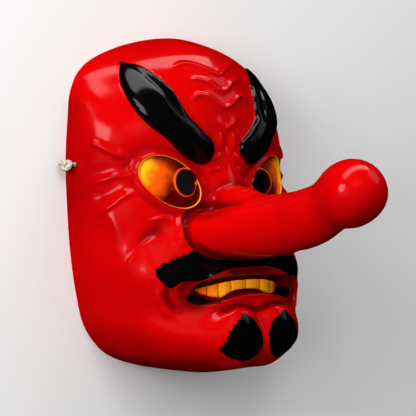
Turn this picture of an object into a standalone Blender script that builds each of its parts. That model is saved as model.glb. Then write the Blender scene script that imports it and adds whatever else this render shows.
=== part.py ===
"""Tengu mask: a moulded shell with a long nose, and the cord that is knotted outside its rim.

The shell is one casting. It is parted at the nose's neck, so that collision can follow the hollow nose.

Facing the mask, +X is to the right, +Y is up the face and +Z comes out of it. The mask lies on the
flat back of its rim, at z = 0, with the face up. Its shape is worked out for x >= 0 and mirrored.
"""

import math

import bmesh
import bpy
import numpy as np

MM = 0.001


def mm(*rows):
    """Millimetres, as an array in metres."""
    return np.array(rows, dtype=float) * MM


# The whole mask. Everything on the face is placed from its middle, in millimetres.
HALF_HEIGHT = 113.3 * MM
WALL = 4.0 * MM
CREASE_WALL = 3.0 * MM
PUPIL_SPACING = 67.0 * MM
PUPIL_HEIGHT = 15.5 * MM
PUPIL_HOLE_RADIUS = 7.8 * MM
MOUTH_GAP = mm((37, -59.5))[0]
MOUTH_GAP_TILT = math.radians(14)
NECK = 122.0 * MM
NECK_GAP = 0.3 * MM

# The cord and its knots
CORD_RADIUS = 1.75 * MM
CORD_HOLE_RADIUS = 2.3 * MM
CORD_HEIGHT = 27.0 * MM
CORD_LIFT = 8.0 * MM
KNOT_RADIUS = 5.2 * MM
KNOT_X = 93.0 * MM
CORD_ROUTE = ((0, -103, 1.8), (15, -101.5, 1.8), (30, -97, 1.8), (43, -89, 1.8), (53.5, -77, 1.8), (61, -62, 1.8),
              (66, -46, 1.8), (69, -28, 1.8), (70.5, -10, 1.8), (70.5, 5, 1.8), (70.7, 14, 2.5), (72.5, 21, 4.6),
              (77, 26, 7.3), (82, 27, 8), (87.2, 27, 8))

# How finely the shell is worked, and how much of that the solid keeps
OUTSIDE_STEPS = (160, 130)
INSIDE_STEPS = (80, 60)
OUTSIDE_KEPT = 0.0605
INSIDE_KEPT = 0.125

RED_LACQUER = (0.60, 0.004, 0.006, 1.0)
CREAM_COTTON = (0.74, 0.68, 0.56, 1.0)


def through(stations):
    """A smooth function that runs through the stations, pairs of place and value."""
    places, values = np.array(stations, dtype=float).T
    slopes = np.gradient(values, places)

    def value(place):
        place = np.clip(place, places[0], places[-1])
        left = np.clip(np.searchsorted(places, place) - 1, 0, len(places) - 2)
        step = places[left + 1] - places[left]
        t = (place - places[left]) / step
        start = (1 + 2 * t) * (1 - t) ** 2 * values[left] + t * (1 - t) ** 2 * step * slopes[left]
        end = t * t * (3 - 2 * t) * values[left + 1] + t * t * (t - 1) * step * slopes[left + 1]
        return start + end

    return value


def smooth_line(points, steps):
    """Points along a smooth line through the given points, evenly spaced."""
    points = np.array(points, dtype=float)
    reach = np.concatenate(([0.0], np.cumsum(np.linalg.norm(np.diff(points, axis=0), axis=1))))
    columns = [through(np.column_stack((reach, column))) for column in points.T]
    at = np.linspace(0, reach[-1], steps)
    return np.column_stack([column(at) for column in columns])


def hump(distance, width):
    return np.exp(-((distance / width) ** 2))


def rise(value, start, end):
    """0 before start and 1 past end, with a smooth slope between them."""
    t = np.clip((value - start) / (end - start), 0, 1)
    return t * t * (3 - 2 * t)


def joined(a, b, softness):
    """Two shapes as one, with a fillet of the given softness where they meet."""
    share = np.clip(0.5 + 0.5 * (b - a) / softness, 0, 1)
    return b + (a - b) * share - softness * share * (1 - share)


# The plain form of the face: its rim's half width as a share of an ellipse's, its depth in the
# middle as a share of a full curve's, and how square its level sections are, by height.

rim_fullness = through([(t, w * MM) for t, w in (
    (-1, 60), (-0.98, 87), (-0.95, 101), (-0.92, 109.5), (-0.88, 111.8), (-0.8, 107), (-0.7, 101.5), (-0.55, 93.2),
    (-0.4, 88.7), (-0.2, 86.1), (0, 86), (0.15, 87.9), (0.32, 91.7), (0.42, 95), (0.53, 100.5), (0.62, 107.5),
    (0.7, 114.3), (0.78, 122), (0.85, 126), (0.91, 123.6), (0.95, 118), (0.98, 109), (1, 98))])
depth_fullness = through(mm(
    (-113.3, 120), (-105, 131), (-96, 126), (-84, 112), (-70, 95), (-58, 90), (-45, 86), (-32, 76), (-14, 66),
    (15, 60), (35, 60.5), (60, 62), (93, 60.5), (105, 54), (113.3, 34)))
squareness = through([(y * MM, n) for y, n in (
    (-113.3, 2.0), (-100, 2.1), (-84, 2.25), (-60, 2.3), (-36, 2.5), (-14, 2.4), (15, 2.12), (35, 2.12), (50, 1.98),
    (67, 1.62), (80, 1.38), (93, 1.33), (113.3, 1.33))])
MIDDLE_SOFTNESS = 8 * MM
ALMOST_ONE = 0.99999


def half_width(y):
    t = np.clip(y / HALF_HEIGHT, -ALMOST_ONE, ALMOST_ONE)
    return np.sqrt(1 - t * t) * rim_fullness(t)


def middle_depth(y):
    t = np.clip(np.abs(y) / HALF_HEIGHT, 0, ALMOST_ONE)
    return (1 - t**3) ** (1 / 3) * depth_fullness(y)


def across(x, y):
    """How far across the face a place is: 0 in the middle, 1 at the rim."""
    soft = MIDDLE_SOFTNESS
    return (np.sqrt(x * x + soft * soft) - soft) / (np.sqrt(half_width(y) ** 2 + soft * soft) - soft)


def face_depth(x, y):
    """The plain face's height over the rim's plane at a place seen from the front."""
    n = squareness(y)
    return middle_depth(y) * np.clip(1 - across(x, y) ** n, 0, 1) ** (1 / n)


def dome(p):
    x, y, z = p.T
    n = squareness(y)
    reach = (across(x, y) ** n + (np.clip(z, 0, None) / middle_depth(y)) ** n) ** (1 / n)
    return np.maximum((reach - 1) * middle_depth(y), np.abs(y) - HALF_HEIGHT)


def ball(p, centre, radii):
    """A ball, or an egg with three radii."""
    radii = np.array(radii)
    return (np.linalg.norm((p - centre) / radii, axis=1) - 1) * radii.min()


def strut(p, start, end, radius_start, radius_end):
    """A round bar between two points."""
    line = end - start
    t = np.clip((p - start) @ line / (line @ line), 0, 1)
    away = np.linalg.norm(p - start - t[:, None] * line, axis=1)
    return away - radius_start - (radius_end - radius_start) * t


NOSE_TIP = mm((0, 9, 174))[0]
NOSE_TIP_RADIUS = 21 * MM
TIP_FLAT = np.array((0, -0.75, 0.66))
nose_height = through(mm((0, -14), (40, -17), (63, -17), (92, -15.4), (119, -9.6), (133, -7.2), (145, -3.6), (156, 1.5),
                         (164, 5.5), (174, 9), (200, 18)))
nose_radius = through(mm((0, 18.5), (70, 18.4), (92, 17.8), (119, 18.4), (133, 18.6), (148, 17.6), (160, 17), (200, 17)))
WING_START, WING_END = mm((4, -12.5, 112), (21, -18.5, 61))
WING_RADIUS = 16.5 * MM
BRIDGE = mm((0, 38, 47), (0, 15, 62), (0, 0, 83), (0, -6, 112))
BRIDGE_RADII = mm(12, 12.5, 12.4, 12.5)
LOBE_TOP, LOBE_FOOT = mm((18, -80, 79.5), (13.5, -91.5, 77))
LOBE_TOP_RADIUS = 20 * MM
LOBE_FOOT_RADIUS = 15.5 * MM
CHEEKBONE = mm((60, 5, 47))[0]
CREASE_DEPTH = 2.2 * MM
CREASE_WIDTH = 4.0 * MM


def nose(p):
    x, y, z = p.T
    slope = (nose_height(z + MM) - nose_height(z - MM)) / (2 * MM)
    upright = (y - nose_height(z)) / np.sqrt(1 + slope * slope)
    shaft = np.hypot(x, upright) - nose_radius(z)
    shaft = np.maximum(shaft, z - NOSE_TIP[2])
    tip = ball(p, NOSE_TIP, (NOSE_TIP_RADIUS,) * 3)
    facing = (p - NOSE_TIP) @ TIP_FLAT / np.maximum(np.linalg.norm(p - NOSE_TIP, axis=1), MM)
    tip += 3.0 * MM * np.clip(facing, 0, 1) ** 4
    wing = strut(p, WING_START, WING_END, WING_RADIUS, WING_RADIUS)
    return joined(joined(shaft, tip, 4 * MM), wing, 5 * MM)


def bridge(p):
    pieces = [
        strut(p, BRIDGE[i], BRIDGE[i + 1], BRIDGE_RADII[i], BRIDGE_RADII[i + 1])
        for i in range(len(BRIDGE) - 1)
    ]
    return np.minimum.reduce(pieces)


def face(p):
    """How far a point is outside the face without its nose, negative inside."""
    cheek = 3.0 * MM * hump(np.linalg.norm((p - CHEEKBONE) / (1.2, 0.8, 1), axis=1), 16 * MM)
    lobe = strut(p, LOBE_TOP, LOBE_FOOT, LOBE_TOP_RADIUS, LOBE_FOOT_RADIUS)
    return joined(joined(dome(p) - cheek, lobe, 3 * MM), bridge(p), 10 * MM)


def form(p):
    """The mask's big forms: the face with the nose, and a crease sunk where they meet."""
    beside = nose(p)
    return joined(face(p) + CREASE_DEPTH * hump(beside, CREASE_WIDTH), beside, 0.8 * MM)


def plain_form(p):
    return joined(face(p), nose(p), 0.8 * MM)


def outward(shape, p):
    """The direction that leaves a shape, at each point."""
    step = 0.2 * MM
    slopes = [shape(p + step * axis) - shape(p - step * axis) for axis in np.eye(3)]
    slopes = np.column_stack(slopes)
    return slopes / np.linalg.norm(slopes, axis=1)[:, None]


class Line:
    """A line drawn on the face, given by the front view's x and y."""

    def __init__(self, *points, lift=0.0):
        flat = smooth_line(mm(*points), 36)
        height = face_depth(flat[:, 0], flat[:, 1]) + lift
        self.points = np.column_stack((flat, height))

    def locate(self, p):
        """For each point its share along the line, its distance, and the side it lies on."""
        start, run = self.points[:-1], np.diff(self.points, axis=0)
        t = np.einsum("nsk,sk->ns", p[:, None] - start, run) / (run * run).sum(axis=1)
        t = np.clip(t, 0, 1)
        away = p[:, None] - start - t[..., None] * run
        distance = np.linalg.norm(away, axis=2)
        nearest = distance.argmin(axis=1)
        rows = np.arange(len(p))
        along = (nearest + t[rows, nearest]) / len(run)
        turn = np.cross(run[nearest], away[rows, nearest])[:, 2]
        return along, distance[rows, nearest], np.sign(turn)


def ridge(p, line, height, width, taper=0.25):
    """A raised or sunk line that thins out at its two ends."""
    along, distance, _ = line.locate(p)
    ends = rise(along, 0, taper) * rise(1 - along, 0, taper) if taper else 1.0
    return height * ends * hump(distance, width)


BROW = Line((61, 93), (55, 83), (48.5, 70), (43, 59), (36.5, 50.5), (29, 43), (22, 37), (16, 33))
brow_half_width = through([(s, w * MM) for s, w in ((0, 0.5), (0.06, 5), (0.2, 10.5), (0.38, 14), (0.55, 13),
                                                     (0.68, 11.2), (0.8, 11.6), (0.92, 11.5), (1, 11))])
brow_height = through([(s, h * MM) for s, h in ((0, 1), (0.12, 3.5), (0.3, 6.5), (0.5, 9), (0.75, 9.5), (1, 8))])
brow_valley = through([(0, 0.2), (0.1, 0.6), (0.25, 0.75), (0.5, 0.7), (0.64, 0.4), (0.76, 0.0), (1, 0)])


def brow(p):
    """A flame-shaped brow: two rolled ridges with a valley between them, run into one knob."""
    along, distance, side = BROW.locate(p)
    out = distance / brow_half_width(along)
    edge = 1 - rise(out, 0.78, 1.04)
    crown = 1 - 0.3 * np.clip(out, 0, 1) ** 2
    valley = 1 - brow_valley(along) * hump(side * out + 0.2, 0.32)
    return brow_height(along) * edge * crown * valley


EYE = mm((42, 16))[0]
EYE_RADII = (23.5 * MM, 15.5 * MM)
EYE_TILT = math.radians(31)


def eye_reach(p):
    """0 in the middle of the eye and 1 on its outline, measured on the face's slope there."""
    centre = np.append(EYE, face_depth(*EYE))
    normal = outward(dome, centre[None])[0]
    long_axis = np.array((math.cos(EYE_TILT), math.sin(EYE_TILT), 0))
    long_axis -= (long_axis @ normal) * normal
    long_axis /= np.linalg.norm(long_axis)
    short_axis = np.cross(normal, long_axis)
    away = p - centre
    far = np.abs(away @ normal) > 25 * MM
    reach = np.hypot(away @ long_axis / EYE_RADII[0], away @ short_axis / EYE_RADII[1])
    return np.where(far, 9.0, reach)


def eye(p):
    reach = eye_reach(p)
    scale = EYE_RADII[1]
    bowl = -2.6 * MM * (1 - rise(reach, 0.95, 1.03))
    bulge = 5.0 * MM * np.clip(1 - reach**2, 0, 1)
    lid = 0.9 * MM * hump((reach - 1.05) * scale, 1.2 * MM)
    socket = -1.2 * MM * hump((reach - 1.3) * scale, 4 * MM)
    pupil = np.hypot(p[:, 0] - PUPIL_SPACING / 2, p[:, 1] - PUPIL_HEIGHT)
    ring = 1.0 * MM * hump(pupil - 9.2 * MM, 1.1 * MM)
    return bowl + bulge + lid + socket + np.where(reach < 1, ring, 0)


UPPER_LIP = ((0, -41), (12, -41), (22, -42.5), (34, -45), (43, -48), (48, -54))
LOWER_LIP = ((0, -58), (13, -58.5), (30, -62), (40, -63), (46, -60), (48, -54))
MOUTH_END = 48 * MM
upper_lip = through(mm(*UPPER_LIP))
lower_lip = through(mm(*LOWER_LIP))
TOOTH_EDGES = mm(0, 13, 24, 32.5, 40)
tooth_top = through(mm((0, -46), (13, -46.6), (24, -49), (32.5, -52), (42, -54)))
tooth_foot = through(mm((0, -53.5), (13, -54.3), (24, -56.5), (32.5, -57.5), (42, -57)))
UPPER_CREST = Line(*UPPER_LIP, (48, -58), (44, -62.5))
LOWER_CREST = Line(*LOWER_LIP[:4])


def mouth(p):
    x, y, z = p.T
    top, foot = upper_lip(x), lower_lip(x)
    up = (y - foot) / np.maximum(top - foot, MM)
    open_share = rise(up, 0, 0.32) * rise(1 - up, 0, 0.32) * (1 - rise(x, 36 * MM, MOUTH_END))
    front = z > 40 * MM
    recess = -8.5 * MM * np.where(front, open_share, 0)
    teeth = rise(y, tooth_foot(x) - 0.6 * MM, tooth_foot(x)) * rise(-y, -tooth_top(x) - 0.6 * MM, -tooth_top(x))
    between = np.min([np.abs(x - edge) for edge in TOOTH_EDGES], axis=0)
    teeth = teeth * (1 - 0.6 * hump(between, 0.7 * MM)) * (x < TOOTH_EDGES[-1])
    recess += 3.0 * MM * np.where(front, teeth, 0)
    return recess + ridge(p, UPPER_CREST, 1.6 * MM, 3 * MM, 0) + ridge(p, LOWER_CREST, 2.4 * MM, 3.5 * MM, 0)


# Raised (+) and sunk (-) lines of the face: height and width in millimetres, then the line

FOLDS = (
    (1.5, 1.3, Line((0, 86), (5, 88), (10, 90.5), (17, 91.5), (27, 92), (34, 88.5))),
    (1.5, 1.3, Line((0, 75), (5, 77.5), (10, 80.5), (15, 81.5), (20, 81.5), (27, 80))),
    (1.6, 1.3, Line((0, 64), (6, 66.5), (11, 71), (17, 73), (22, 71), (26, 66.5))),
    (1.6, 2.0, Line((0, 50), (5, 53), (11, 57))),
    (1.8, 2.6, Line((4.5, 51), (4.5, 44), (5, 36))),
    (-1.6, 2.4, Line((0, 50), (0, 44), (0, 36))),
    (1.2, 2.2, Line((82, 41), (77, 36), (71, 33), (66, 31))),
    (1.2, 2.2, Line((83, 13), (79, 16), (74, 19), (66, 19))),
    (1.2, 2.2, Line((81, -6), (75, 0), (68, 7), (61, 10))),
    (-2.2, 4.5, Line((46, -9), (54, -11), (61, -16), (66, -25), (71, -36), (74, -46))),
    (2.0, 4.5, Line((49, -18), (56, -22), (63, -28), (68, -36), (71, -46))),
    (2.2, 3.4, Line((50, -46), (51, -53), (49, -59), (44, -64))),
    (-2.0, 3.0, Line((54, -48), (56, -56), (52, -66), (45, -72))),
    (1.5, 3.0, Line((59, -50), (60, -58), (56, -68), (49, -76))),
    (-2.4, 2.6, Line((0, -67.5), (4, -67), (11, -63.5), (19, -64), (29, -67.5), (38, -69))),
)


def carving(p):
    """How far each point of the big forms is raised or sunk by the carving."""
    height = np.zeros(len(p))
    on_face = (p[:, 2] > 8 * MM) & (p[:, 2] < 112 * MM)
    p = p[on_face]
    carved = eye(p) + mouth(p)
    for rise_mm, width_mm, line in FOLDS:
        open_end = line.points[0, 0] < MM
        along, distance, _ = line.locate(p)
        ends = rise(1 - along, 0, 0.3) * (1.0 if open_end else rise(along, 0, 0.3))
        carved += rise_mm * MM * ends * hump(distance, width_mm * MM)
    raised = brow(p)
    carved = np.where(raised > 0, np.maximum(raised, 0) + carved * (1 - rise(raised, 0, 2 * MM)), carved)
    height[on_face] = carved
    return height


# The grid is a fan of rays that start on the nose's middle line. They turn round the tip, run
# square to the shaft, close on the crease where the nose leaves the face, and open to the rim.

TIP_SHARE, SHAFT_SHARE, CREASE_SHARE = 0.125, 0.30, 0.4625
SHAFT_FOOT = 118 * MM
HALVINGS = 16


def fan(v, z):
    """Places on the nose's middle line, and the directions square to it, for turns v from 0 to 1."""
    start = np.column_stack((np.zeros_like(z), nose_height(z), z))
    climb = np.arctan((nose_height(z + MM) - nose_height(z - MM)) / (2 * MM)) * rise(z, 80 * MM, 150 * MM)
    ahead = np.column_stack((np.zeros_like(z), np.sin(climb), np.cos(climb)))
    up = np.column_stack((np.zeros_like(z), np.cos(climb), -np.sin(climb)))
    round_nose = (v - 0.5) * math.pi
    flat = np.cos(round_nose)[:, None] * (1.0, 0.0, 0.0) + np.sin(round_nose)[:, None] * up
    return start, ahead, flat


def crease(v):
    """Where the nose's side sinks into the plain face, at each turn v."""
    low, high = np.zeros_like(v), np.full_like(v, SHAFT_FOOT)
    for _ in range(HALVINGS):
        z = (low + high) / 2
        start, _, flat = fan(v, z)
        on_nose = cast(nose, start, flat)
        sunk = dome(on_nose) < -CREASE_DEPTH
        low, high = np.where(sunk, z, low), np.where(sunk, high, z)
    return on_nose


def rays(u, v):
    """Starts and directions of the rays for grid places u and v, both from 0 to 1."""
    on_tip = np.clip(u / TIP_SHARE, 0, 1)
    down_shaft = np.clip((u - TIP_SHARE) / (SHAFT_SHARE - TIP_SHARE), 0, 1)
    to_crease = np.clip((u - SHAFT_SHARE) / (CREASE_SHARE - SHAFT_SHARE), 0, 1)[:, None]
    to_rim = np.clip((u - CREASE_SHARE) / (1 - CREASE_SHARE), 0, 1)[:, None]
    z = NOSE_TIP[2] + (SHAFT_FOOT - NOSE_TIP[2]) * down_shaft - SHAFT_FOOT * to_crease[:, 0]
    start, ahead, flat = fan(v, z)
    turn = on_tip[:, None] * math.pi / 2
    square = np.cos(turn) * ahead + np.sin(turn) * flat
    turns, where = np.unique(v, return_inverse=True)
    foot_start, _, foot_flat = fan(turns, np.full_like(turns, SHAFT_FOOT))
    foot = cast(nose, foot_start, foot_flat)[where]
    aimed = foot + (crease(turns)[where] - foot) * to_crease - start
    aimed /= np.linalg.norm(aimed, axis=1)[:, None]
    opening = np.arccos(np.clip((aimed * flat).sum(axis=1), -ALMOST_ONE, ALMOST_ONE))[:, None]
    opened = (np.sin((1 - to_rim) * opening) * aimed + np.sin(to_rim * opening) * flat) / np.sin(opening)
    return start, np.where(to_crease > 0, opened, square)


def cast(shape, start, direction):
    """Where each ray first leaves a shape: found in steps, then halved down."""
    step = 2 * MM
    reach = np.zeros(len(start))
    going = np.ones(len(start), dtype=bool)
    while going.any() and reach.max() < 2 * HALF_HEIGHT:
        ahead = start[going] + (reach[going] + step)[:, None] * direction[going]
        within = shape(ahead) < 0
        left = np.flatnonzero(going)
        reach[left[within]] += step
        going[left[~within]] = False
    for _ in range(HALVINGS):
        step /= 2
        ahead = start + (reach + step)[:, None] * direction
        reach += np.where(shape(ahead) < 0, step, 0)
    return start + reach[:, None] * direction


def outside(u, v):
    start, direction = rays(u, v)
    p = cast(form, start, direction)
    height = carving(p)
    p = p + height[:, None] * outward(form, p)
    p[:, 0] = np.where((v <= 0) | (v >= 1), 0, np.maximum(p[:, 0], 0))
    p[:, 2] = np.where(u >= 1, 0, p[:, 2])
    return p


def inside(u, v):
    """The hollow follows the big forms and the deep carving, a wall's thickness inside them.

    The wall is thicker along the crease, where the nose leaves the face.
    """
    start, direction = rays(u, v)
    p = cast(plain_form, start, direction)
    wall = WALL + CREASE_WALL * hump(nose(p) - face(p), 9 * MM)
    p = p + (np.minimum(carving(p), 0) - wall)[:, None] * outward(plain_form, p)
    p[:, 0] = np.where((v <= 0) | (v >= 1), 0, np.maximum(p[:, 0], 0))
    p[:, 2] = np.where(u >= 1, -WALL, p[:, 2])
    return p


def half_shell(name, steps, place):
    """Half of a closed form: a grid laid over the rays, closed by a flat back and open at x = 0."""
    mesh = bpy.data.meshes.new(name)
    work = bmesh.new()
    bmesh.ops.create_grid(work, x_segments=steps[0], y_segments=steps[1], size=1)
    grid = np.array([vertex.co[:2] for vertex in work.verts])
    u, v = ((grid + 1) / 2).T
    u = np.clip(np.round(u, 6), 0, 1)
    v = np.clip(np.round(v, 6), 0, 1)
    points = place(u, v)
    for vertex, point in zip(work.verts, points):
        vertex.co = point
    rim = [edge for edge in work.edges if all(u[vertex.index] >= 1 for vertex in edge.verts)]
    ends = [vertex for vertex in work.verts if u[vertex.index] >= 1 and v[vertex.index] in (0, 1)]
    rim.append(work.edges.new(ends))
    bmesh.ops.contextual_create(work, geom=rim)
    tip = [vertex for vertex in work.verts if u[vertex.index] <= 0]
    bmesh.ops.remove_doubles(work, verts=tip, dist=0.01 * MM)
    bmesh.ops.recalc_face_normals(work, faces=work.faces)
    highest = max(work.faces, key=lambda face: face.calc_center_median().z)
    if highest.normal.z < 0:
        bmesh.ops.reverse_faces(work, faces=work.faces)
    work.to_mesh(mesh)
    work.free()
    return bpy.data.objects.new(name, mesh)


def mirrored(thing, kept):
    """Adds the other half, and thins the grid where the form is plain."""
    mirror = thing.modifiers.new("Other half", "MIRROR")
    mirror.merge_threshold = 0.01 * MM
    thin = thing.modifiers.new("Thinned", "DECIMATE")
    thin.ratio = kept
    thin.use_symmetry = True
    thin.symmetry_axis = "X"


def cut(thing, cutter):
    boolean = thing.modifiers.new(cutter.name, "BOOLEAN")
    boolean.operation = "DIFFERENCE"
    boolean.solver = "EXACT"
    boolean.object = cutter


def as_cutter(thing, collection):
    """A shape that only cuts: kept apart and shown as wires."""
    thing.hide_render = True
    thing.display_type = "WIRE"
    collection.objects.link(thing)


def bar(name, radius, length, place, turn=(0, 0, 0), stretch=(1, 1, 1)):
    """A round bar along its own Z, turned and set in place."""
    mesh = bpy.data.meshes.new(name)
    work = bmesh.new()
    bmesh.ops.create_cone(work, cap_ends=True, segments=28, radius1=radius, radius2=radius, depth=length)
    work.to_mesh(mesh)
    work.free()
    thing = bpy.data.objects.new(name, mesh)
    thing.location = place
    thing.rotation_euler = turn
    thing.scale = stretch
    return thing


def block(name, size, middle):
    """A cube at a height on the mask's middle line."""
    mesh = bpy.data.meshes.new(name)
    work = bmesh.new()
    bmesh.ops.create_cube(work, size=size)
    work.to_mesh(mesh)
    work.free()
    thing = bpy.data.objects.new(name, mesh)
    thing.location = (0, 0, middle)
    return thing


def knot(name, side):
    """The knot outside a cord hole: a ball whose turns show as soft rolls."""
    mesh = bpy.data.meshes.new(name)
    work = bmesh.new()
    bmesh.ops.create_icosphere(work, subdivisions=3, radius=KNOT_RADIUS)
    for vertex in work.verts:
        x, y, z = vertex.co / KNOT_RADIUS
        turn = math.atan2(z, y) + 1.1 * x
        vertex.co *= 1 + 0.09 * math.cos(3 * turn) * (1 - x * x)
    work.to_mesh(mesh)
    work.free()
    thing = bpy.data.objects.new(name, mesh)
    thing.location = (side * KNOT_X, CORD_HEIGHT, CORD_LIFT)
    thing.data.materials.append(painted("cream cotton", CREAM_COTTON, 0.9))
    thing.data.shade_smooth()
    thin = thing.modifiers.new("Thinned", "DECIMATE")
    thin.ratio = 0.25
    return thing


def head_cord():
    """The cord: in at one hole, slack round the inside of the rim, and out at the other."""
    right_half = smooth_line(mm(*CORD_ROUTE), 24)
    left_half = right_half[::-1] * (-1, 1, 1)
    points = np.vstack((left_half, right_half[1:]))
    curve = bpy.data.curves.new("head_cord", "CURVE")
    curve.dimensions = "3D"
    curve.bevel_depth = CORD_RADIUS
    curve.bevel_resolution = 2
    curve.use_fill_caps = True
    spline = curve.splines.new("POLY")
    spline.points.add(len(points) - 1)
    for point, place in zip(spline.points, points):
        point.co = (*place, 1)
    spline.use_smooth = True
    curve.materials.append(painted("cream cotton cord", CREAM_COTTON, 0.9))
    return bpy.data.objects.new("head_cord", curve)


def painted(name, colour, roughness, metallic=0.0):
    material = bpy.data.materials.new(name)
    material.use_nodes = True
    shader = material.node_tree.nodes["Principled BSDF"]
    shader.inputs["Base Color"].default_value = colour
    shader.inputs["Roughness"].default_value = roughness
    shader.inputs["Metallic"].default_value = metallic
    return material


def main():
    for thing in list(bpy.data.objects):
        bpy.data.objects.remove(thing)
    parts = bpy.data.collections.new("Tengu mask")
    cutters = bpy.data.collections.new("Cutters")
    for collection in (parts, cutters):
        bpy.context.scene.collection.children.link(collection)
    mask = half_shell("mask", OUTSIDE_STEPS, outside)
    parts.objects.link(mask)
    mirrored(mask, OUTSIDE_KEPT)
    mask.data.materials.append(painted("red lacquer", RED_LACQUER, 0.2))
    hollow = half_shell("hollow", INSIDE_STEPS, inside)
    mirrored(hollow, INSIDE_KEPT)
    holes = [bar("cord_holes", CORD_HOLE_RADIUS, 3 * KNOT_X, (0, CORD_HEIGHT, CORD_LIFT), (0, math.pi / 2, 0))]
    for side, name in ((-1, "left"), (1, "right")):
        pupil = (side * PUPIL_SPACING / 2, PUPIL_HEIGHT, 55 * MM)
        holes.append(bar(f"pupil_{name}", PUPIL_HOLE_RADIUS, 50 * MM, pupil))
        corner = (side * MOUTH_GAP[0], MOUTH_GAP[1], 70 * MM)
        holes.append(bar(f"mouth_gap_{name}", 6 * MM, 50 * MM, corner, (0, 0, -side * MOUTH_GAP_TILT), (1, 0.5, 1)))
        parts.objects.link(knot(f"knot_{name}", side))
    for cutter in [hollow, *holes]:
        as_cutter(cutter, cutters)
        cut(mask, cutter)
    mask.data.shade_smooth()
    nose_piece = mask.copy()
    nose_piece.name = "mask_nose"
    parts.objects.link(nose_piece)
    for piece, name, way in ((mask, "past_neck", 1), (nose_piece, "behind_neck", -1)):
        face_z = NECK - way * NECK_GAP / 2
        parting = block(name, 4 * HALF_HEIGHT, face_z + way * 2 * HALF_HEIGHT)
        as_cutter(parting, cutters)
        cut(piece, parting)
    parts.objects.link(head_cord())


main()
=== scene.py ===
"""Tengu mask: a red lacquered shell with painted brows, eyes, teeth and beard, and its cotton head cord.

Facing the mask, +X is to the right, +Y is up the face and +Z comes out of it. It lies on the flat back
of its rim. The shell's form is worked out for x >= 0 and mirrored.
"""

import math

import bmesh
import bpy
import numpy as np
from bpy.props import FloatProperty, FloatVectorProperty, PointerProperty
from mathutils import Matrix, Vector
from mathutils.kdtree import KDTree


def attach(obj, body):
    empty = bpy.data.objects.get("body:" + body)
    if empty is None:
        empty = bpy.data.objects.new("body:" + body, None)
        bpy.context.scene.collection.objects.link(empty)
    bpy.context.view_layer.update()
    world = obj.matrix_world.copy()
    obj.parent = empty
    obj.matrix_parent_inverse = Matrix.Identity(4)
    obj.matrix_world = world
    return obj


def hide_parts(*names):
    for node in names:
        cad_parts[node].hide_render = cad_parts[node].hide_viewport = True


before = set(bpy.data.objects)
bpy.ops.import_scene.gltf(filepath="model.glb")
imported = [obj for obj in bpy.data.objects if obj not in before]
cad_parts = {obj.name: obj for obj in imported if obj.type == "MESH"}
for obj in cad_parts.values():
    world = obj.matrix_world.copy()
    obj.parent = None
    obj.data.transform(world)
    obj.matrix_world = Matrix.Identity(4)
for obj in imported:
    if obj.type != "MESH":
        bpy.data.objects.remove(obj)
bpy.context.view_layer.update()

bl_info = {
    "name": "Tengu mask",
    "version": (1, 0, 0),
    "blender": (4, 5, 0),
    "location": "3D View > Sidebar > Mask",
    "description": "Makes a red lacquered tengu mask with its head cord, and a stage for it",
    "category": "Object",
}

MM = 0.001


def mm(*rows):
    """Millimetres, as an array in metres."""
    return np.array(rows, dtype=float) * MM


# The solids that the shell stands for
MASK_NODES = [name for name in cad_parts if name.startswith("mask")]

# The whole mask. Everything on it is placed from the middle of its rim.
HALF_HEIGHT = 113.3 * MM
WALL = 4.0 * MM
CREASE_WALL = 3.0 * MM
CREASE_WALL_REACH = 9 * MM
PUPIL_SPACING = 67.0 * MM
PUPIL_HEIGHT = 15.5 * MM
PUPIL_HOLE_RADIUS = 8.6 * MM
CORD_HOLE_RADIUS = 2.3 * MM
CORD_HEIGHT = 27.0 * MM
CORD_LIFT = 8.0 * MM
KNOT_X = 93.0 * MM

# The cord's route in millimetres, from the middle of its slack loop to the hole in the rim
CORD_ROUTE = (
    (0, -103, 1.8), (15, -101.5, 1.8), (30, -97, 1.8), (43, -89, 1.8), (53.5, -77, 1.8), (61, -62, 1.8),
    (66, -46, 1.8), (69, -28, 1.8), (70.5, -10, 1.8), (70.5, 5, 1.8), (70.7, 14, 2.5), (72.5, 21, 4.6),
    (77, 26, 7.3), (82, 27, 8), (87.2, 27, 8))


# Curves and soft steps

def through(stations):
    """A smooth function that runs through the stations, pairs of place and value."""
    places, values = np.array(stations, dtype=float).T
    slopes = np.gradient(values, places)

    def value(place):
        place = np.clip(place, places[0], places[-1])
        left = np.clip(np.searchsorted(places, place) - 1, 0, len(places) - 2)
        step = places[left + 1] - places[left]
        t = (place - places[left]) / step
        start = (1 + 2 * t) * (1 - t) ** 2 * values[left] + t * (1 - t) ** 2 * step * slopes[left]
        end = t * t * (3 - 2 * t) * values[left + 1] + t * t * (t - 1) * step * slopes[left + 1]
        return start + end

    return value


def sized(*stations):
    """The same for pairs of a share and a size in millimetres."""
    return through([(share, size * MM) for share, size in stations])


def smooth_line(points, steps):
    """Points along a smooth line through the given points, evenly spaced."""
    points = np.array(points, dtype=float)
    reach = np.concatenate(([0.0], np.cumsum(np.linalg.norm(np.diff(points, axis=0), axis=1))))
    columns = [through(np.column_stack((reach, column))) for column in points.T]
    at = np.linspace(0, reach[-1], steps)
    return np.column_stack([column(at) for column in columns])


def hump(distance, width):
    return np.exp(-((distance / width) ** 2))


def rise(value, start, end):
    """0 before start and 1 past end, with a smooth slope between them."""
    t = np.clip((value - start) / (end - start), 0, 1)
    return t * t * (3 - 2 * t)


def joined(a, b, softness):
    """Two shapes as one, with a fillet of the given softness where they meet."""
    share = np.clip(0.5 + 0.5 * (b - a) / softness, 0, 1)
    return b + (a - b) * share - softness * share * (1 - share)


# The plain form of the face, by height: the half width of the ellipse that the rim touches there,
# the depth of the full curve that the middle touches there, and how square the level sections are.

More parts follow.
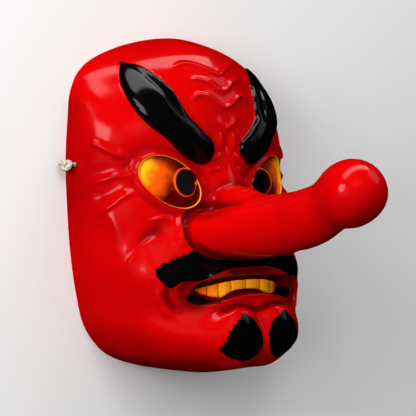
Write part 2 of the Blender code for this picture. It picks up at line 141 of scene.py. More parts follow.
rim_fullness = sized(
    (-1, 60), (-0.98, 87), (-0.95, 101), (-0.92, 109.5), (-0.88, 111.8), (-0.8, 107), (-0.7, 101.5),
    (-0.55, 93.2), (-0.4, 88.7), (-0.2, 86.1), (0, 86), (0.15, 87.9), (0.32, 91.7), (0.42, 95), (0.53, 100.5),
    (0.62, 107.5), (0.7, 114.3), (0.78, 122), (0.85, 126), (0.91, 123.6), (0.95, 118), (0.98, 109), (1, 98))
depth_fullness = through(mm(
    (-113.3, 120), (-105, 131), (-96, 129), (-84, 116), (-70, 96), (-58, 90), (-45, 86), (-32, 76), (-14, 66),
    (15, 60), (35, 60.5), (60, 62), (93, 60.5), (105, 54), (113.3, 34)))
squareness = through([(y * MM, power) for y, power in (
    (-113.3, 2.0), (-100, 2.1), (-84, 2.25), (-60, 2.3), (-36, 2.5), (-14, 2.4), (15, 2.12), (35, 2.12),
    (50, 1.98), (67, 1.62), (80, 1.38), (93, 1.33), (113.3, 1.33))])
MIDDLE_SOFTNESS = 8 * MM
ALMOST_ONE = 0.99999


def half_width(y):
    t = np.clip(y / HALF_HEIGHT, -ALMOST_ONE, ALMOST_ONE)
    return np.sqrt(1 - t * t) * rim_fullness(t)


def middle_depth(y):
    t = np.clip(np.abs(y) / HALF_HEIGHT, 0, ALMOST_ONE)
    return (1 - t**3) ** (1 / 3) * depth_fullness(y)


def across(x, y):
    """How far across the face a place is: 0 in the middle, 1 at the rim."""
    soft = MIDDLE_SOFTNESS
    return (np.sqrt(x * x + soft * soft) - soft) / (np.sqrt(half_width(y) ** 2 + soft * soft) - soft)


def face_depth(x, y):
    """The plain face's height over the rim's plane at a place seen from the front."""
    n = squareness(y)
    return middle_depth(y) * np.clip(1 - across(x, y) ** n, 0, 1) ** (1 / n)


def dome(p):
    """How far a point is outside the plain face, negative inside."""
    x, y, z = p.T
    n = squareness(y)
    reach = (across(x, y) ** n + (np.clip(z, 0, None) / middle_depth(y)) ** n) ** (1 / n)
    return np.maximum((reach - 1) * middle_depth(y), np.abs(y) - HALF_HEIGHT)


def ball(p, centre, radius):
    return np.linalg.norm(p - centre, axis=1) - radius


def strut(p, start, end, radius_start, radius_end):
    """A round bar between two points."""
    line = end - start
    t = np.clip((p - start) @ line / (line @ line), 0, 1)
    away = np.linalg.norm(p - start - t[:, None] * line, axis=1)
    return away - radius_start - (radius_end - radius_start) * t


# The nose: a shaft along a middle line, the ball at its tip, flatter below and in front, and its wings
nose_height = through(mm(
    (0, -14), (40, -17), (63, -17), (92, -15.4), (119, -9.6), (133, -7.2), (145, -3.6), (156, 1.5),
    (164, 5.5), (174, 9), (200, 18)))
nose_radius = through(mm(
    (0, 18.5), (70, 18.4), (92, 17.8), (119, 18.4), (133, 18.6), (148, 17.4), (160, 16), (166, 14.5),
    (174, 11), (184, 4), (200, 4)))
SHAFT_END = 184 * MM
NOSE_TIP = mm((0, 9, 174))[0]
NOSE_TIP_RADIUS = 21.6 * MM
TIP_FLAT_SIDE = np.array((0, -0.75, 0.66))
TIP_FLATNESS = 3.0 * MM
NECK_SOFTNESS = 8 * MM
WING_START, WING_END = mm((4, -12.5, 112), (21, -18.5, 61))
WING_RADIUS = 16.5 * MM
WING_SOFTNESS = 5 * MM

# The bridge between the eyes, the two lobes of the chin and the cheekbones
BRIDGE = mm((0, 34, 41), (0, 0, 56), (0, -3, 77), (0, -8.5, 93), (0, -11.5, 110), (0, -13, 126))
BRIDGE_RADII = mm(14, 15, 15.5, 15.5, 15.5, 15)
BRIDGE_SOFTNESS = 10 * MM
LOBE_TOP, LOBE_FOOT = mm((16.8, -80, 82), (12.5, -91.5, 80))
LOBE_TOP_RADIUS = 18.5 * MM
LOBE_FOOT_RADIUS = 13.5 * MM
LOBE_SOFTNESS = 9 * MM
CHEEKBONE = mm((60, 5, 47))[0]
CHEEKBONE_HEIGHT = 3.0 * MM
CHEEKBONE_REACH = 16 * MM
CHEEKBONE_STRETCH = (1.2, 0.8, 1)

# Where nose and face meet: a crease, and on top of the nose a soft ridge that the bridge runs into
CREASE_DEPTH = 2.2 * MM
CREASE_WIDTH = 4.0 * MM
SEAM_SOFTNESS = 0.8 * MM
RIDGE_SOFTNESS = 9 * MM
RIDGE_START, RIDGE_END = 84 * MM, 96 * MM
RIDGE_FOOT, RIDGE_TOP = 8 * MM, 15 * MM


def nose(p):
    """How far a point is outside the nose, negative inside."""
    x, y, z = p.T
    slope = (nose_height(z + MM) - nose_height(z - MM)) / (2 * MM)
    upright = (y - nose_height(z)) / np.sqrt(1 + slope * slope)
    shaft = np.hypot(x, upright) - nose_radius(z)
    shaft = np.maximum(shaft, z - SHAFT_END)
    tip = ball(p, NOSE_TIP, NOSE_TIP_RADIUS)
    facing = (p - NOSE_TIP) @ TIP_FLAT_SIDE / np.maximum(np.linalg.norm(p - NOSE_TIP, axis=1), MM)
    tip += TIP_FLATNESS * np.clip(facing, 0, 1) ** 4
    wing = strut(p, WING_START, WING_END, WING_RADIUS, WING_RADIUS)
    return joined(joined(shaft, tip, NECK_SOFTNESS), wing, WING_SOFTNESS)


def bridge(p):
    pieces = [
        strut(p, BRIDGE[i], BRIDGE[i + 1], BRIDGE_RADII[i], BRIDGE_RADII[i + 1])
        for i in range(len(BRIDGE) - 1)
    ]
    return np.minimum.reduce(pieces)


def face(p):
    """How far a point is outside the face without its nose, negative inside."""
    beside_cheekbone = np.linalg.norm((p - CHEEKBONE) / CHEEKBONE_STRETCH, axis=1)
    cheeks = dome(p) - CHEEKBONE_HEIGHT * hump(beside_cheekbone, CHEEKBONE_REACH)
    lobe = strut(p, LOBE_TOP, LOBE_FOOT, LOBE_TOP_RADIUS, LOBE_FOOT_RADIUS)
    return joined(joined(cheeks, lobe, LOBE_SOFTNESS), bridge(p), BRIDGE_SOFTNESS)


def on_ridge(p):
    """How much a point lies on top of the nose, where the bridge runs on into it."""
    above = p[:, 1] - nose_height(p[:, 2])
    return rise(above, RIDGE_FOOT, RIDGE_TOP) * rise(p[:, 2], RIDGE_START, RIDGE_END)


def seam_softness(p):
    return SEAM_SOFTNESS + RIDGE_SOFTNESS * on_ridge(p)


def form(p):
    """The mask's big forms: the face with the nose, and a crease sunk where they meet."""
    beside = nose(p)
    sunk = CREASE_DEPTH * hump(beside, CREASE_WIDTH) * (1 - on_ridge(p))
    return joined(face(p) + sunk, beside, seam_softness(p))


def plain_form(p):
    """The same without the crease."""
    return joined(face(p), nose(p), seam_softness(p))


SLOPE_STEP = 0.2 * MM


def outward(shape, p):
    """The direction that leaves a shape, at each point."""
    slopes = [shape(p + SLOPE_STEP * axis) - shape(p - SLOPE_STEP * axis) for axis in np.eye(3)]
    slopes = np.column_stack(slopes)
    return slopes / np.linalg.norm(slopes, axis=1)[:, None]


# The carving, as how far the big forms are raised or sunk

LOOSE_FIT = 16 * MM
LINE_STEPS = 36


def under(p):
    """Points moved along Z onto the plain face, where they lie close to it."""
    depth = face_depth(p[:, 0], p[:, 1])
    return np.column_stack((p[:, :2], np.where(np.abs(p[:, 2] - depth) < LOOSE_FIT, depth, p[:, 2])))


class Line:
    """A line drawn on the face, given by the front view's x and y in millimetres."""

    def __init__(self, *points):
        flat = smooth_line(mm(*points), LINE_STEPS)
        self.points = np.column_stack((flat, face_depth(flat[:, 0], flat[:, 1])))

    def near(self, p, reach):
        """Which points lie in the line's neighbourhood, as seen from the front."""
        flat = p[:, :2]
        low = self.points[:, :2].min(axis=0) - reach
        high = self.points[:, :2].max(axis=0) + reach
        return np.all((flat > low) & (flat < high), axis=1)

    def locate(self, p):
        """For each point its share along the line, its distance, and the side it lies on."""
        start, run = self.points[:-1], np.diff(self.points, axis=0)
        t = np.einsum("nsk,sk->ns", p[:, None] - start, run) / (run * run).sum(axis=1)
        t = np.clip(t, 0, 1)
        away = p[:, None] - start - t[..., None] * run
        distance = np.linalg.norm(away, axis=2)
        nearest = distance.argmin(axis=1)
        rows = np.arange(len(p))
        along = (nearest + t[rows, nearest]) / len(run)
        turn = np.cross(run[nearest], away[rows, nearest])[:, 2]
        return along, distance[rows, nearest], np.sign(turn)


class Fold:
    """A raised or sunk line: its height, its widths on its left and right hand, and its tapers."""

    REACH = 2.6

    def __init__(self, height, widths, points, tapers=(0.3, 0.3)):
        self.height = height * MM
        self.widths = [width * MM for width in widths]
        self.tapers = tapers
        self.line = Line(*points)

    def carve(self, p):
        carved = np.zeros(len(p))
        near = self.line.near(p, self.REACH * max(self.widths))
        if not near.any():
            return carved
        along, distance, side = self.line.locate(under(p[near]))
        ends = np.ones(near.sum())
        if self.tapers[0]:
            ends *= rise(along, 0, self.tapers[0])
        if self.tapers[1]:
            ends *= rise(1 - along, 0, self.tapers[1])
        width = np.where(side > 0, self.widths[0], self.widths[1])
        carved[near] = self.height * ends * hump(distance, width)
        return carved


BROW = Line((55.5, 93), (53.5, 84.5), (49.5, 72), (45, 61.5), (39.5, 53), (33, 46), (27, 40.5), (21.5, 37))
BROW_REACH = 22 * MM
brow_half_width = sized(
    (0, 1.5), (0.05, 6), (0.2, 12), (0.38, 14.6), (0.55, 13.2), (0.68, 11), (0.8, 11), (0.92, 10.6), (1, 10))
brow_height = sized((0, 1.5), (0.1, 3.2), (0.25, 5), (0.45, 6.3), (0.65, 6.2), (0.8, 6.5), (1, 6))

# The brow's profile, in shares of its half width and height. A full lobe stands over a flat band on
# its upper side, and both close into one knob towards the nose.
BROW_EDGE, BROW_FOOT = 0.93, 1.03
BAND_HEIGHT = 0.55
BROW_LOBE_MIDDLE, BROW_LOBE_HALF_WIDTH = 0.2, 0.85
BROW_LOBE_STEP = (-0.64, -0.4)
KNOB_SHARE = (0.5, 0.72)


def round_profile(out):
    return np.sqrt(np.clip(1 - out * out, 0, 1))


def brow(p):
    """A flame-shaped brow: its height, and how far inside its outline each point is."""
    height = np.zeros(len(p))
    inside_by = np.full(len(p), -BROW_REACH)
    near = BROW.near(p, BROW_REACH)
    along, distance, side = BROW.locate(p[near])
    out = side * distance / brow_half_width(along)
    whole = round_profile(out / BROW_FOOT)
    band = BAND_HEIGHT * np.sqrt(whole)
    lobe = round_profile((out - BROW_LOBE_MIDDLE) / BROW_LOBE_HALF_WIDTH) * rise(out, *BROW_LOBE_STEP)
    parted = np.maximum(lobe, band)
    knob = rise(along, *KNOB_SHARE)
    edge = 1 - rise(np.abs(out), BROW_EDGE, BROW_FOOT)
    height[near] = brow_height(along) * edge * (parted + (whole - parted) * knob)
    inside_by[near] = (1 - np.abs(out)) * brow_half_width(along)
    return height, inside_by


EYE = mm((43.2, 15.8))[0]
EYE_RADII = (23.4 * MM, 14.4 * MM)
EYE_TILT = math.radians(30)
EYE_REACH = 25 * MM
EYE_EDGE = (0.93, 1.0)
EYE_SUNK = 2.9 * MM
EYE_BULGE = 5.2 * MM
LID_HEIGHT, LID_WIDTH, LID_PLACE = 0.9 * MM, 0.8 * MM, 1.03
SOCKET_DEPTH, SOCKET_WIDTH, SOCKET_PLACE = 1.4 * MM, 3.5 * MM, 1.3
PUPIL_RING_HEIGHT = 0.5 * MM
PUPIL_RING = (9.0 * MM, 9.7 * MM)
OUT_OF_REACH = 9.0


def eye_place(p):
    """Places in the eye, measured on the face's slope there: along it and across it, 1 on its outline."""
    centre = np.append(EYE, face_depth(*EYE))
    normal = outward(dome, centre[None])[0]
    long_axis = np.array((math.cos(EYE_TILT), math.sin(EYE_TILT), 0))
    long_axis -= (long_axis @ normal) * normal
    long_axis /= np.linalg.norm(long_axis)
    short_axis = np.cross(normal, long_axis)
    away = p - centre
    far = np.abs(away @ normal) > EYE_REACH
    along = np.where(far, OUT_OF_REACH, away @ long_axis / EYE_RADII[0])
    return along, away @ short_axis / EYE_RADII[1]


def eye(p):
    """The eye's carving: a round eyeball sunk behind its lid, in a shallow socket, and the pupil's ring."""
    reach = np.hypot(*eye_place(p))
    scale = EYE_RADII[1]
    bowl = -EYE_SUNK * (1 - rise(reach, *EYE_EDGE))
    bulge = EYE_BULGE * np.clip(1 - reach**2, 0, 1)
    lid = LID_HEIGHT * hump((reach - LID_PLACE) * scale, LID_WIDTH)
    socket = -SOCKET_DEPTH * hump((reach - SOCKET_PLACE) * scale, SOCKET_WIDTH)
    ring = PUPIL_RING_HEIGHT * (1 - rise(pupil_distance(p), *PUPIL_RING))
    return bowl + bulge + lid + socket + np.where(reach < 1, ring, 0)


def pupil_distance(p):
    return np.hypot(p[:, 0] - PUPIL_SPACING / 2, p[:, 1] - PUPIL_HEIGHT)


# The mouth: its lips' crests, the recess between them and the teeth in it
UPPER_LIP = ((0, -41), (12, -41), (22, -42.5), (32, -45), (40, -48), (45, -54))
LOWER_LIP = ((0, -58), (13, -58.5), (28, -61), (37, -63), (43, -60), (45, -54))
MOUTH_NARROWS, MOUTH_END = 38 * MM, 46.5 * MM
MOUTH_DEPTH = 9 * MM
LOWER_SLOPE, UPPER_SLOPE = 0.24, 0.2
MOUTH_CORNER = mm((42, -54))[0]
CORNER_DEPTH = 5 * MM
CORNER_REACH = 11 * MM
upper_lip = through(mm(*UPPER_LIP))
lower_lip = through(mm(*LOWER_LIP))
TOOTH_EDGES = mm(0, 13, 24, 32, 40.5)
TOOTH_HEIGHT = 3.6 * MM
TOOTH_ROUNDING = 0.25
TOOTH_FLANK = (-0.5 * MM, 0.7 * MM)
FAR_OUTSIDE = -9 * MM
tooth_top = through(mm((0, -45.5), (13, -46.2), (24, -48.6), (32, -51.2), (41, -53.6)))
tooth_foot = through(mm((0, -53.8), (13, -54.6), (24, -56.7), (32, -57), (36, -56.3), (41, -54.8)))

# Higher than this over the floor, a point belongs to the mouth's front and not to the rim below it
LIPS_Z = 40 * MM


def mouth_openness(p):
    """1 in the recess between the lips, 0 on them."""
    x, y, z = p.T
    top, foot = upper_lip(x), lower_lip(x)
    up = (y - foot) / np.maximum(top - foot, MM)
    open_share = rise(up, 0, LOWER_SLOPE) * rise(1 - up, 0, UPPER_SLOPE)
    return np.where(z > LIPS_Z, open_share * (1 - rise(x, MOUTH_NARROWS, MOUTH_END)), 0)


def in_teeth(p):
    """How far inside a tooth's outline each point is, and how far across its tooth, from 0 to 1."""
    x, y, z = p.T
    number = np.clip(np.searchsorted(TOOTH_EDGES, x, side="right"), 1, len(TOOTH_EDGES) - 1)
    left, right = TOOTH_EDGES[number - 1], TOOTH_EDGES[number]
    sides = np.minimum(x - left, right - x)
    inside_by = np.minimum.reduce([sides, y - tooth_foot(x), tooth_top(x) - y])
    return np.where(z > LIPS_Z, inside_by, FAR_OUTSIDE), (x - left) / (right - left)


def mouth(p):
    inside_by, across_tooth = in_teeth(p)
    crown = 1 - TOOTH_ROUNDING * (2 * across_tooth - 1) ** 2
    teeth = TOOTH_HEIGHT * crown * rise(inside_by, *TOOTH_FLANK)
    corner = hump(np.linalg.norm(p[:, :2] - MOUTH_CORNER, axis=1), CORNER_REACH)
    return teeth - MOUTH_DEPTH * mouth_openness(p) - CORNER_DEPTH * corner * (p[:, 2] > LIPS_Z)


# Height, widths and the line of each fold. A line's left hand is above it where it runs to the right.

SHARP_BELOW = (2.2, 1.0)
FOLDS = (
    # The waves across the forehead
    Fold(1.5, SHARP_BELOW,
         ((0, 86), (3, 86.8), (8.5, 89.5), (14, 92), (20, 93), (25, 92), (32, 88.5)), (0, 0.35)),
    Fold(1.5, SHARP_BELOW, ((0, 75.3), (4, 76.4), (9.5, 80.3), (14, 82), (19, 82.2), (26, 80)), (0, 0.35)),
    Fold(2.0, SHARP_BELOW,
         ((0, 64.5), (4, 65.4), (8.6, 68.5), (14, 71.5), (20, 71.8), (25.5, 67.5)), (0, 0.25)),
    # The frown, and the creases over the bridge
    Fold(1.2, (2.4, 0.9), ((0, 50), (5, 53), (11, 56.5)), (0, 0.5)),
    Fold(1.6, (2.0, 2.6), ((5.8, 49), (6, 43), (6.6, 35)), (0.4, 0.4)),
    Fold(-1.2, (2.2, 2.2), ((0, 49), (0, 43), (0, 35)), (0.4, 0.4)),
    Fold(1.3, (1.4, 1.8), ((20, 27.5), (12, 30.5), (4, 34.5)), (0.4, 0.3)),
    Fold(1.1, (1.2, 1.2), ((18, 21.5), (13, 23.5), (7, 24.6)), (0.3, 0.3)),
    Fold(0.9, (1.1, 1.1), ((20.5, 20), (19, 16), (16.5, 12)), (0.3, 0.3)),
    # The rays beside the eye
    Fold(1.9, (1.3, 3.2), ((83, 42), (77, 36), (72.5, 32.5), (66, 30.5)), (0.1, 0.3)),
    Fold(0.9, (1.1, 1.1), ((63.8, 30.5), (65, 27), (65.2, 23)), (0.3, 0.3)),
    Fold(1.1, (1.3, 1.3), ((68.5, 26), (66.6, 22.5), (64.8, 18.8)), (0.3, 0.3)),
    Fold(-0.8, (4.2, 4.2), ((86, 19), (79, 22.5), (73, 24.5), (68, 24)), (0.3, 0.5)),
    Fold(1.8, (1.5, 3.0), ((85, 12), (79, 16.3), (74.5, 18.8), (69, 19.4), (63, 18.5)), (0.3, 0.35)),
    Fold(-1.2, (4.0, 4.0), ((84, 3), (78, 8.5), (73, 12.5), (67, 14.5)), (0.3, 0.5)),
    Fold(1.8, (1.5, 3.0), ((83, -7), (76.5, 0), (71.6, 6), (66, 9), (61, 10.5)), (0.3, 0.35)),
    # Under the eye, down the cheek and beside the nose
    Fold(1.8, (2.4, 1.3), ((61.5, -9.5), (54, -7.4), (44.5, -7)), (0.35, 0.4)),
    Fold(-2.0, (5.0, 5.5),
         ((46, -12), (54, -13.5), (61, -17.5), (66, -25), (71, -36), (74, -47)), (0.25, 0.4)),
    Fold(1.5, (4.5, 5.0), ((83, 2), (77.5, -6), (75, -14.5), (76, -25)), (0.4, 0.4)),
    Fold(2.4, (2.0, 6.0), ((55, -19), (61, -21), (66.5, -26), (71.6, -33.5), (75, -46)), (0.35, 0.4)),
    Fold(1.6, (3.5, 3.5), ((37, -8), (41, -15), (44.5, -23), (42, -30)), (0.3, 0.3)),
    # The lips, and the lines round the corner of the mouth
    Fold(1.8, (2.2, 1.6), UPPER_LIP + ((46, -59), (43, -64)), (0, 0.3)),
    Fold(1.7, (1.3, 1.5), LOWER_LIP[:4], (0, 0.3)),
    Fold(0.7, (0.9, 0.9), ((47, -45.5), (52.5, -50), (52.5, -57), (48, -62.5)), (0.3, 0.4)),
    Fold(0.6, (0.9, 0.9), ((50, -45), (55.3, -50), (55, -58), (50.5, -64)), (0.3, 0.4)),
    Fold(-2.0, (2.4, 3.0), ((56, -47), (58, -56), (54, -65), (47, -70)), (0.3, 0.4)),
    Fold(2.0, (3.2, 2.2), ((60, -49), (60.5, -57), (57, -65.5), (51, -71.5)), (0.3, 0.3)),
    # Under the lower lip
    Fold(-3.2, (2.0, 2.0),
         ((0, -66.5), (5, -65.3), (11, -62.8), (19, -62.2), (28, -65), (37, -68)), (0, 0.4)),
    Fold(1.3, (1.2, 3.0),
         ((0, -70), (5, -68), (12, -65.8), (19, -65.2), (27, -67.6), (34, -71)), (0.2, 0.4)),
)
CARVED_FROM, CARVED_TO = 8 * MM, 112 * MM
BROW_COVERS = 2 * MM

# The welt round the nose's wing: its height and width, how far from the nose it runs, and where it starts
WELT_HEIGHT, WELT_WIDTH = 1.8 * MM, 1.8 * MM
WELT_PLACE = 5.5 * MM
WELT_STARTS_OUT = (10 * MM, 18 * MM)
WELT_STARTS_DOWN = (2 * MM, 10 * MM)


def welt(p):
    share = rise(p[:, 0], *WELT_STARTS_OUT) * rise(-p[:, 1], *WELT_STARTS_DOWN)
    return WELT_HEIGHT * share * hump(nose(p) - WELT_PLACE, WELT_WIDTH)


def carving(p):
    """How far each point of the big forms is raised or sunk by the carving."""
    height = np.zeros(len(p))
    on_face = (p[:, 2] > CARVED_FROM) & (p[:, 2] < CARVED_TO)
    p = p[on_face]
    carved = eye(p) + mouth(p) + welt(p)
    for fold in FOLDS:
        carved += fold.carve(p)
    raised, inside_by = brow(p)
    carved += np.where(inside_by > 0, raised - carved * rise(raised, 0, BROW_COVERS), 0)
    height[on_face] = carved
    return height


# The grid is a fan of rays that start on the nose's middle line. They turn round the tip, run
# square to the shaft, close on the crease where the nose leaves the face, and open to the rim.

TIP_SHARE, SHAFT_SHARE, CREASE_SHARE = 0.125, 0.30, 0.4625
SHAFT_FOOT = 118 * MM
SQUARE_FROM, SQUARE_FULL = 80 * MM, 150 * MM
CAST_STEP = 2 * MM
HALVINGS = 16


def fan(v, z):
    """Places on the nose's middle line, and the directions square to it, for turns v from 0 to 1."""
    start = np.column_stack((np.zeros_like(z), nose_height(z), z))
    slope = (nose_height(z + MM) - nose_height(z - MM)) / (2 * MM)
    climb = np.arctan(slope) * rise(z, SQUARE_FROM, SQUARE_FULL)
    ahead = np.column_stack((np.zeros_like(z), np.sin(climb), np.cos(climb)))
    up = np.column_stack((np.zeros_like(z), np.cos(climb), -np.sin(climb)))
    round_nose = (v - 0.5) * math.pi
    flat = np.cos(round_nose)[:, None] * (1.0, 0.0, 0.0) + np.sin(round_nose)[:, None] * up
    return start, ahead, flat


def crease(v):
    """Where the nose's side sinks into the plain face, at each turn v."""
    low, high = np.zeros_like(v), np.full_like(v, SHAFT_FOOT)
    for _ in range(HALVINGS):
        z = (low + high) / 2
        start, _, flat = fan(v, z)
        on_nose = cast(nose, start, flat)
        sunk = dome(on_nose) < -CREASE_DEPTH
        low, high = np.where(sunk, z, low), np.where(sunk, high, z)
    return on_nose


def rays(u, v):
    """Starts and directions of the rays for grid places u and v, both from 0 to 1."""
    on_tip = np.clip(u / TIP_SHARE, 0, 1)
    down_shaft = np.clip((u - TIP_SHARE) / (SHAFT_SHARE - TIP_SHARE), 0, 1)
    to_crease = np.clip((u - SHAFT_SHARE) / (CREASE_SHARE - SHAFT_SHARE), 0, 1)[:, None]
    to_rim = np.clip((u - CREASE_SHARE) / (1 - CREASE_SHARE), 0, 1)[:, None]
    z = NOSE_TIP[2] + (SHAFT_FOOT - NOSE_TIP[2]) * down_shaft - SHAFT_FOOT * to_crease[:, 0]
    start, ahead, flat = fan(v, z)
    turn = on_tip[:, None] * math.pi / 2
    square = np.cos(turn) * ahead + np.sin(turn) * flat
    turns, where = np.unique(v, return_inverse=True)
    foot_start, _, foot_flat = fan(turns, np.full_like(turns, SHAFT_FOOT))
    foot = cast(nose, foot_start, foot_flat)[where]
    aimed = foot + (crease(turns)[where] - foot) * to_crease - start
    aimed /= np.linalg.norm(aimed, axis=1)[:, None]
    opening = np.arccos(np.clip((aimed * flat).sum(axis=1), -ALMOST_ONE, ALMOST_ONE))[:, None]
    opened = (np.sin((1 - to_rim) * opening) * aimed + np.sin(to_rim * opening) * flat) / np.sin(opening)
    return start, np.where(to_crease > 0, opened, square)


def cast(shape, start, direction):
    """Where each ray first leaves a shape: found in steps, then halved down."""
    step = CAST_STEP
    reach = np.zeros(len(start))
    going = np.ones(len(start), dtype=bool)
    while going.any() and reach.max() < 2 * HALF_HEIGHT:
        ahead = start[going] + (reach[going] + step)[:, None] * direction[going]
        within = shape(ahead) < 0
        left = np.flatnonzero(going)
        reach[left[within]] += step
        going[left[~within]] = False
    for _ in range(HALVINGS):
        step /= 2
        ahead = start + (reach + step)[:, None] * direction
        reach += np.where(shape(ahead) < 0, step, 0)
    return start + reach[:, None] * direction


def on_plane(p, u, v, back):
    """Keeps the grid's edges on the mirror plane and on the flat back."""
    p[:, 0] = np.where((v <= 0) | (v >= 1), 0, np.maximum(p[:, 0], 0))
    p[:, 2] = np.where(u >= 1, back, p[:, 2])
    return p


def outside(u, v):
    """The carved surface at grid places u and v, and the plain form's point under each."""
    start, direction = rays(u, v)
    plain = cast(form, start, direction)
    height = carving(plain)
    carved = plain + height[:, None] * outward(form, plain)
    return np.column_stack((on_plane(carved, u, v, 0), plain))


def inside(u, v):
    """The hollow follows the big forms and the deep carving, a wall's thickness inside them."""
    start, direction = rays(u, v)
    p = cast(plain_form, start, direction)
    wall = WALL + CREASE_WALL * hump(nose(p) - face(p), CREASE_WALL_REACH)
    p = p + (np.minimum(carving(p), 0) - wall)[:, None] * outward(plain_form, p)
    return on_plane(p, u, v, -WALL)


# Meshes

BASE_STEPS = (132, 116)
FINER_ROUNDS = 2
FLAT_ENOUGH = 0.053 * MM
HOLLOW_STEPS = (96, 72)
WELD = 0.01 * MM
LACQUER, BARE_INSIDE, HOLE_WALL = range(3)


class Surface:
    """A surface over grid places, which works each place out once."""

    def __init__(self, place):
        self.place = place
        self.known = {}

    def at(self, u, v):
        keys = list(zip(np.round(u, 7), np.round(v, 7)))
        missing = [key for key in dict.fromkeys(keys) if key not in self.known]
        if missing:
            new_u, new_v = np.array(missing).T
            self.known.update(zip(missing, self.place(new_u, new_v)))
        return np.array([self.known[key] for key in keys])


def grid(steps):
    work = bmesh.new()
    bmesh.ops.create_grid(work, x_segments=steps[0], y_segments=steps[1], size=0.5)
    bmesh.ops.translate(work, verts=work.verts, vec=(0.5, 0.5, 0))
    return work


def grid_places(work):
    places = np.array([vertex.co[:2] for vertex in work.verts])
    return np.clip(np.round(places[:, 0], 6), 0, 1), np.clip(np.round(places[:, 1], 6), 0, 1)


def refine(work, surface):
    """Quarters the faces whose edges stray from the surface."""
    u, v = grid_places(work)
    work.edges.index_update()
    ends = np.array([[vertex.index for vertex in edge.verts] for edge in work.edges])
    points = surface.at(u, v)[:, :3]
    middle = surface.at((u[ends[:, 0]] + u[ends[:, 1]]) / 2, (v[ends[:, 0]] + v[ends[:, 1]]) / 2)[:, :3]
    stray = np.linalg.norm(middle - (points[ends[:, 0]] + points[ends[:, 1]]) / 2, axis=1)
    bent = stray > FLAT_ENOUGH
    faces = [shape for shape in work.faces if any(bent[edge.index] for edge in shape.edges)]
    edges = {edge for shape in faces for edge in shape.edges}
    bmesh.ops.subdivide_edges(work, edges=list(edges), cuts=1, use_grid_fill=True)
    work.verts.index_update()


def closed_half(work, points, u, v):
    """Moves the grid to its points and closes its flat back. It stays open at x = 0."""
    for vertex, point in zip(work.verts, points):
        vertex.co = point
    rim = [edge for edge in work.edges if all(u[vertex.index] >= 1 for vertex in edge.verts)]
    ends = [vertex for vertex in work.verts if u[vertex.index] >= 1 and v[vertex.index] in (0, 1)]
    rim.append(work.edges.new(ends))
    bmesh.ops.contextual_create(work, geom=rim)
    tip = [vertex for vertex in work.verts if u[vertex.index] <= 0]
    bmesh.ops.remove_doubles(work, verts=tip, dist=WELD)
    bmesh.ops.recalc_face_normals(work, faces=work.faces)
    highest = max(work.faces, key=lambda shape: shape.calc_center_median().z)
    if highest.normal.z < 0:
        bmesh.ops.reverse_faces(work, faces=work.faces)


def finished(name, work, number=LACQUER):
    for shape in work.faces:
        shape.material_index = number
    mesh = bpy.data.meshes.new(name)
    work.to_mesh(mesh)
    work.free()
    thing = bpy.data.objects.new(name, mesh)
    bpy.context.scene.collection.objects.link(thing)
    return thing


def mirrored(thing):
    mirror = thing.modifiers.new("Other half", "MIRROR")
    mirror.merge_threshold = WELD


def apply_modifiers(thing):
    bpy.context.view_layer.update()
    evaluated = thing.evaluated_get(bpy.context.evaluated_depsgraph_get())
    mesh = bpy.data.meshes.new_from_object(evaluated)
    thing.modifiers.clear()
    thing.data = mesh


def turned_bar(name, outline, length, place, turn=(0, 0, 0)):
    """A bar along its own Z with the given outline."""
    work = bmesh.new()
    ring = [work.verts.new((x, y, -length / 2)) for x, y in outline]
    foot = work.faces.new(ring)
    pushed = bmesh.ops.extrude_face_region(work, geom=[foot])
    top = [item for item in pushed["geom"] if isinstance(item, bmesh.types.BMVert)]
    bmesh.ops.translate(work, verts=top, vec=(0, 0, length))
    bmesh.ops.recalc_face_normals(work, faces=work.faces)
    thing = finished(name, work, HOLE_WALL)
    thing.location = place
    thing.rotation_euler = turn
    return thing


def ring_outline(radius, sides):
    turns = np.linspace(0, 2 * math.pi, sides, endpoint=False)
    return [(radius * math.cos(turn), radius * math.sin(turn)) for turn in turns]


CORD_HOLE_SIDES = 40
PUPIL_HOLE_SIDES = 96
PUPIL_HOLE_Z = 55 * MM
GAP_CENTRE = mm((36.5, -59.2, 70))[0]
GAP_HALF_LENGTH, GAP_HALF_WIDTH = 9.2 * MM, 3.3 * MM
GAP_ROUNDNESS = 0.5
GAP_TILT = math.radians(9)
GAP_SIDES = 40
CUT_LENGTH = 50 * MM
CORD_CUT_LENGTH = 3 * KNOT_X
SHARP_ANGLE = math.radians(50)


def gap_outline(side):
    """A drop, round outside and pointed towards the teeth."""
    turns = np.linspace(0, 2 * math.pi, GAP_SIDES, endpoint=False)
    wide = 1 + GAP_ROUNDNESS * np.cos(turns)
    x, y = GAP_HALF_LENGTH * np.cos(turns), GAP_HALF_WIDTH * np.sin(turns) * wide
    tilted = x * math.cos(GAP_TILT) - y * math.sin(GAP_TILT), x * math.sin(GAP_TILT) + y * math.cos(GAP_TILT)
    return [(side * a, b) for a, b in zip(*tilted)]


def carved_shell():
    """The solid outside, finer where it bends, and the carved and the plain point at each of its places."""
    surface = Surface(outside)
    work = grid(BASE_STEPS)
    for _ in range(FINER_ROUNDS):
        refine(work, surface)
    u, v = grid_places(work)
    both = surface.at(u, v)
    closed_half(work, both[:, :3], u, v)
    shell = finished("mask_shell", work)
    mirrored(shell)
    return shell, both[:, :3], both[:, 3:]


def hollow_cutter():
    work = grid(HOLLOW_STEPS)
    u, v = grid_places(work)
    closed_half(work, inside(u, v), u, v)
    hollow = finished("hollow", work, BARE_INSIDE)
    mirrored(hollow)
    return hollow


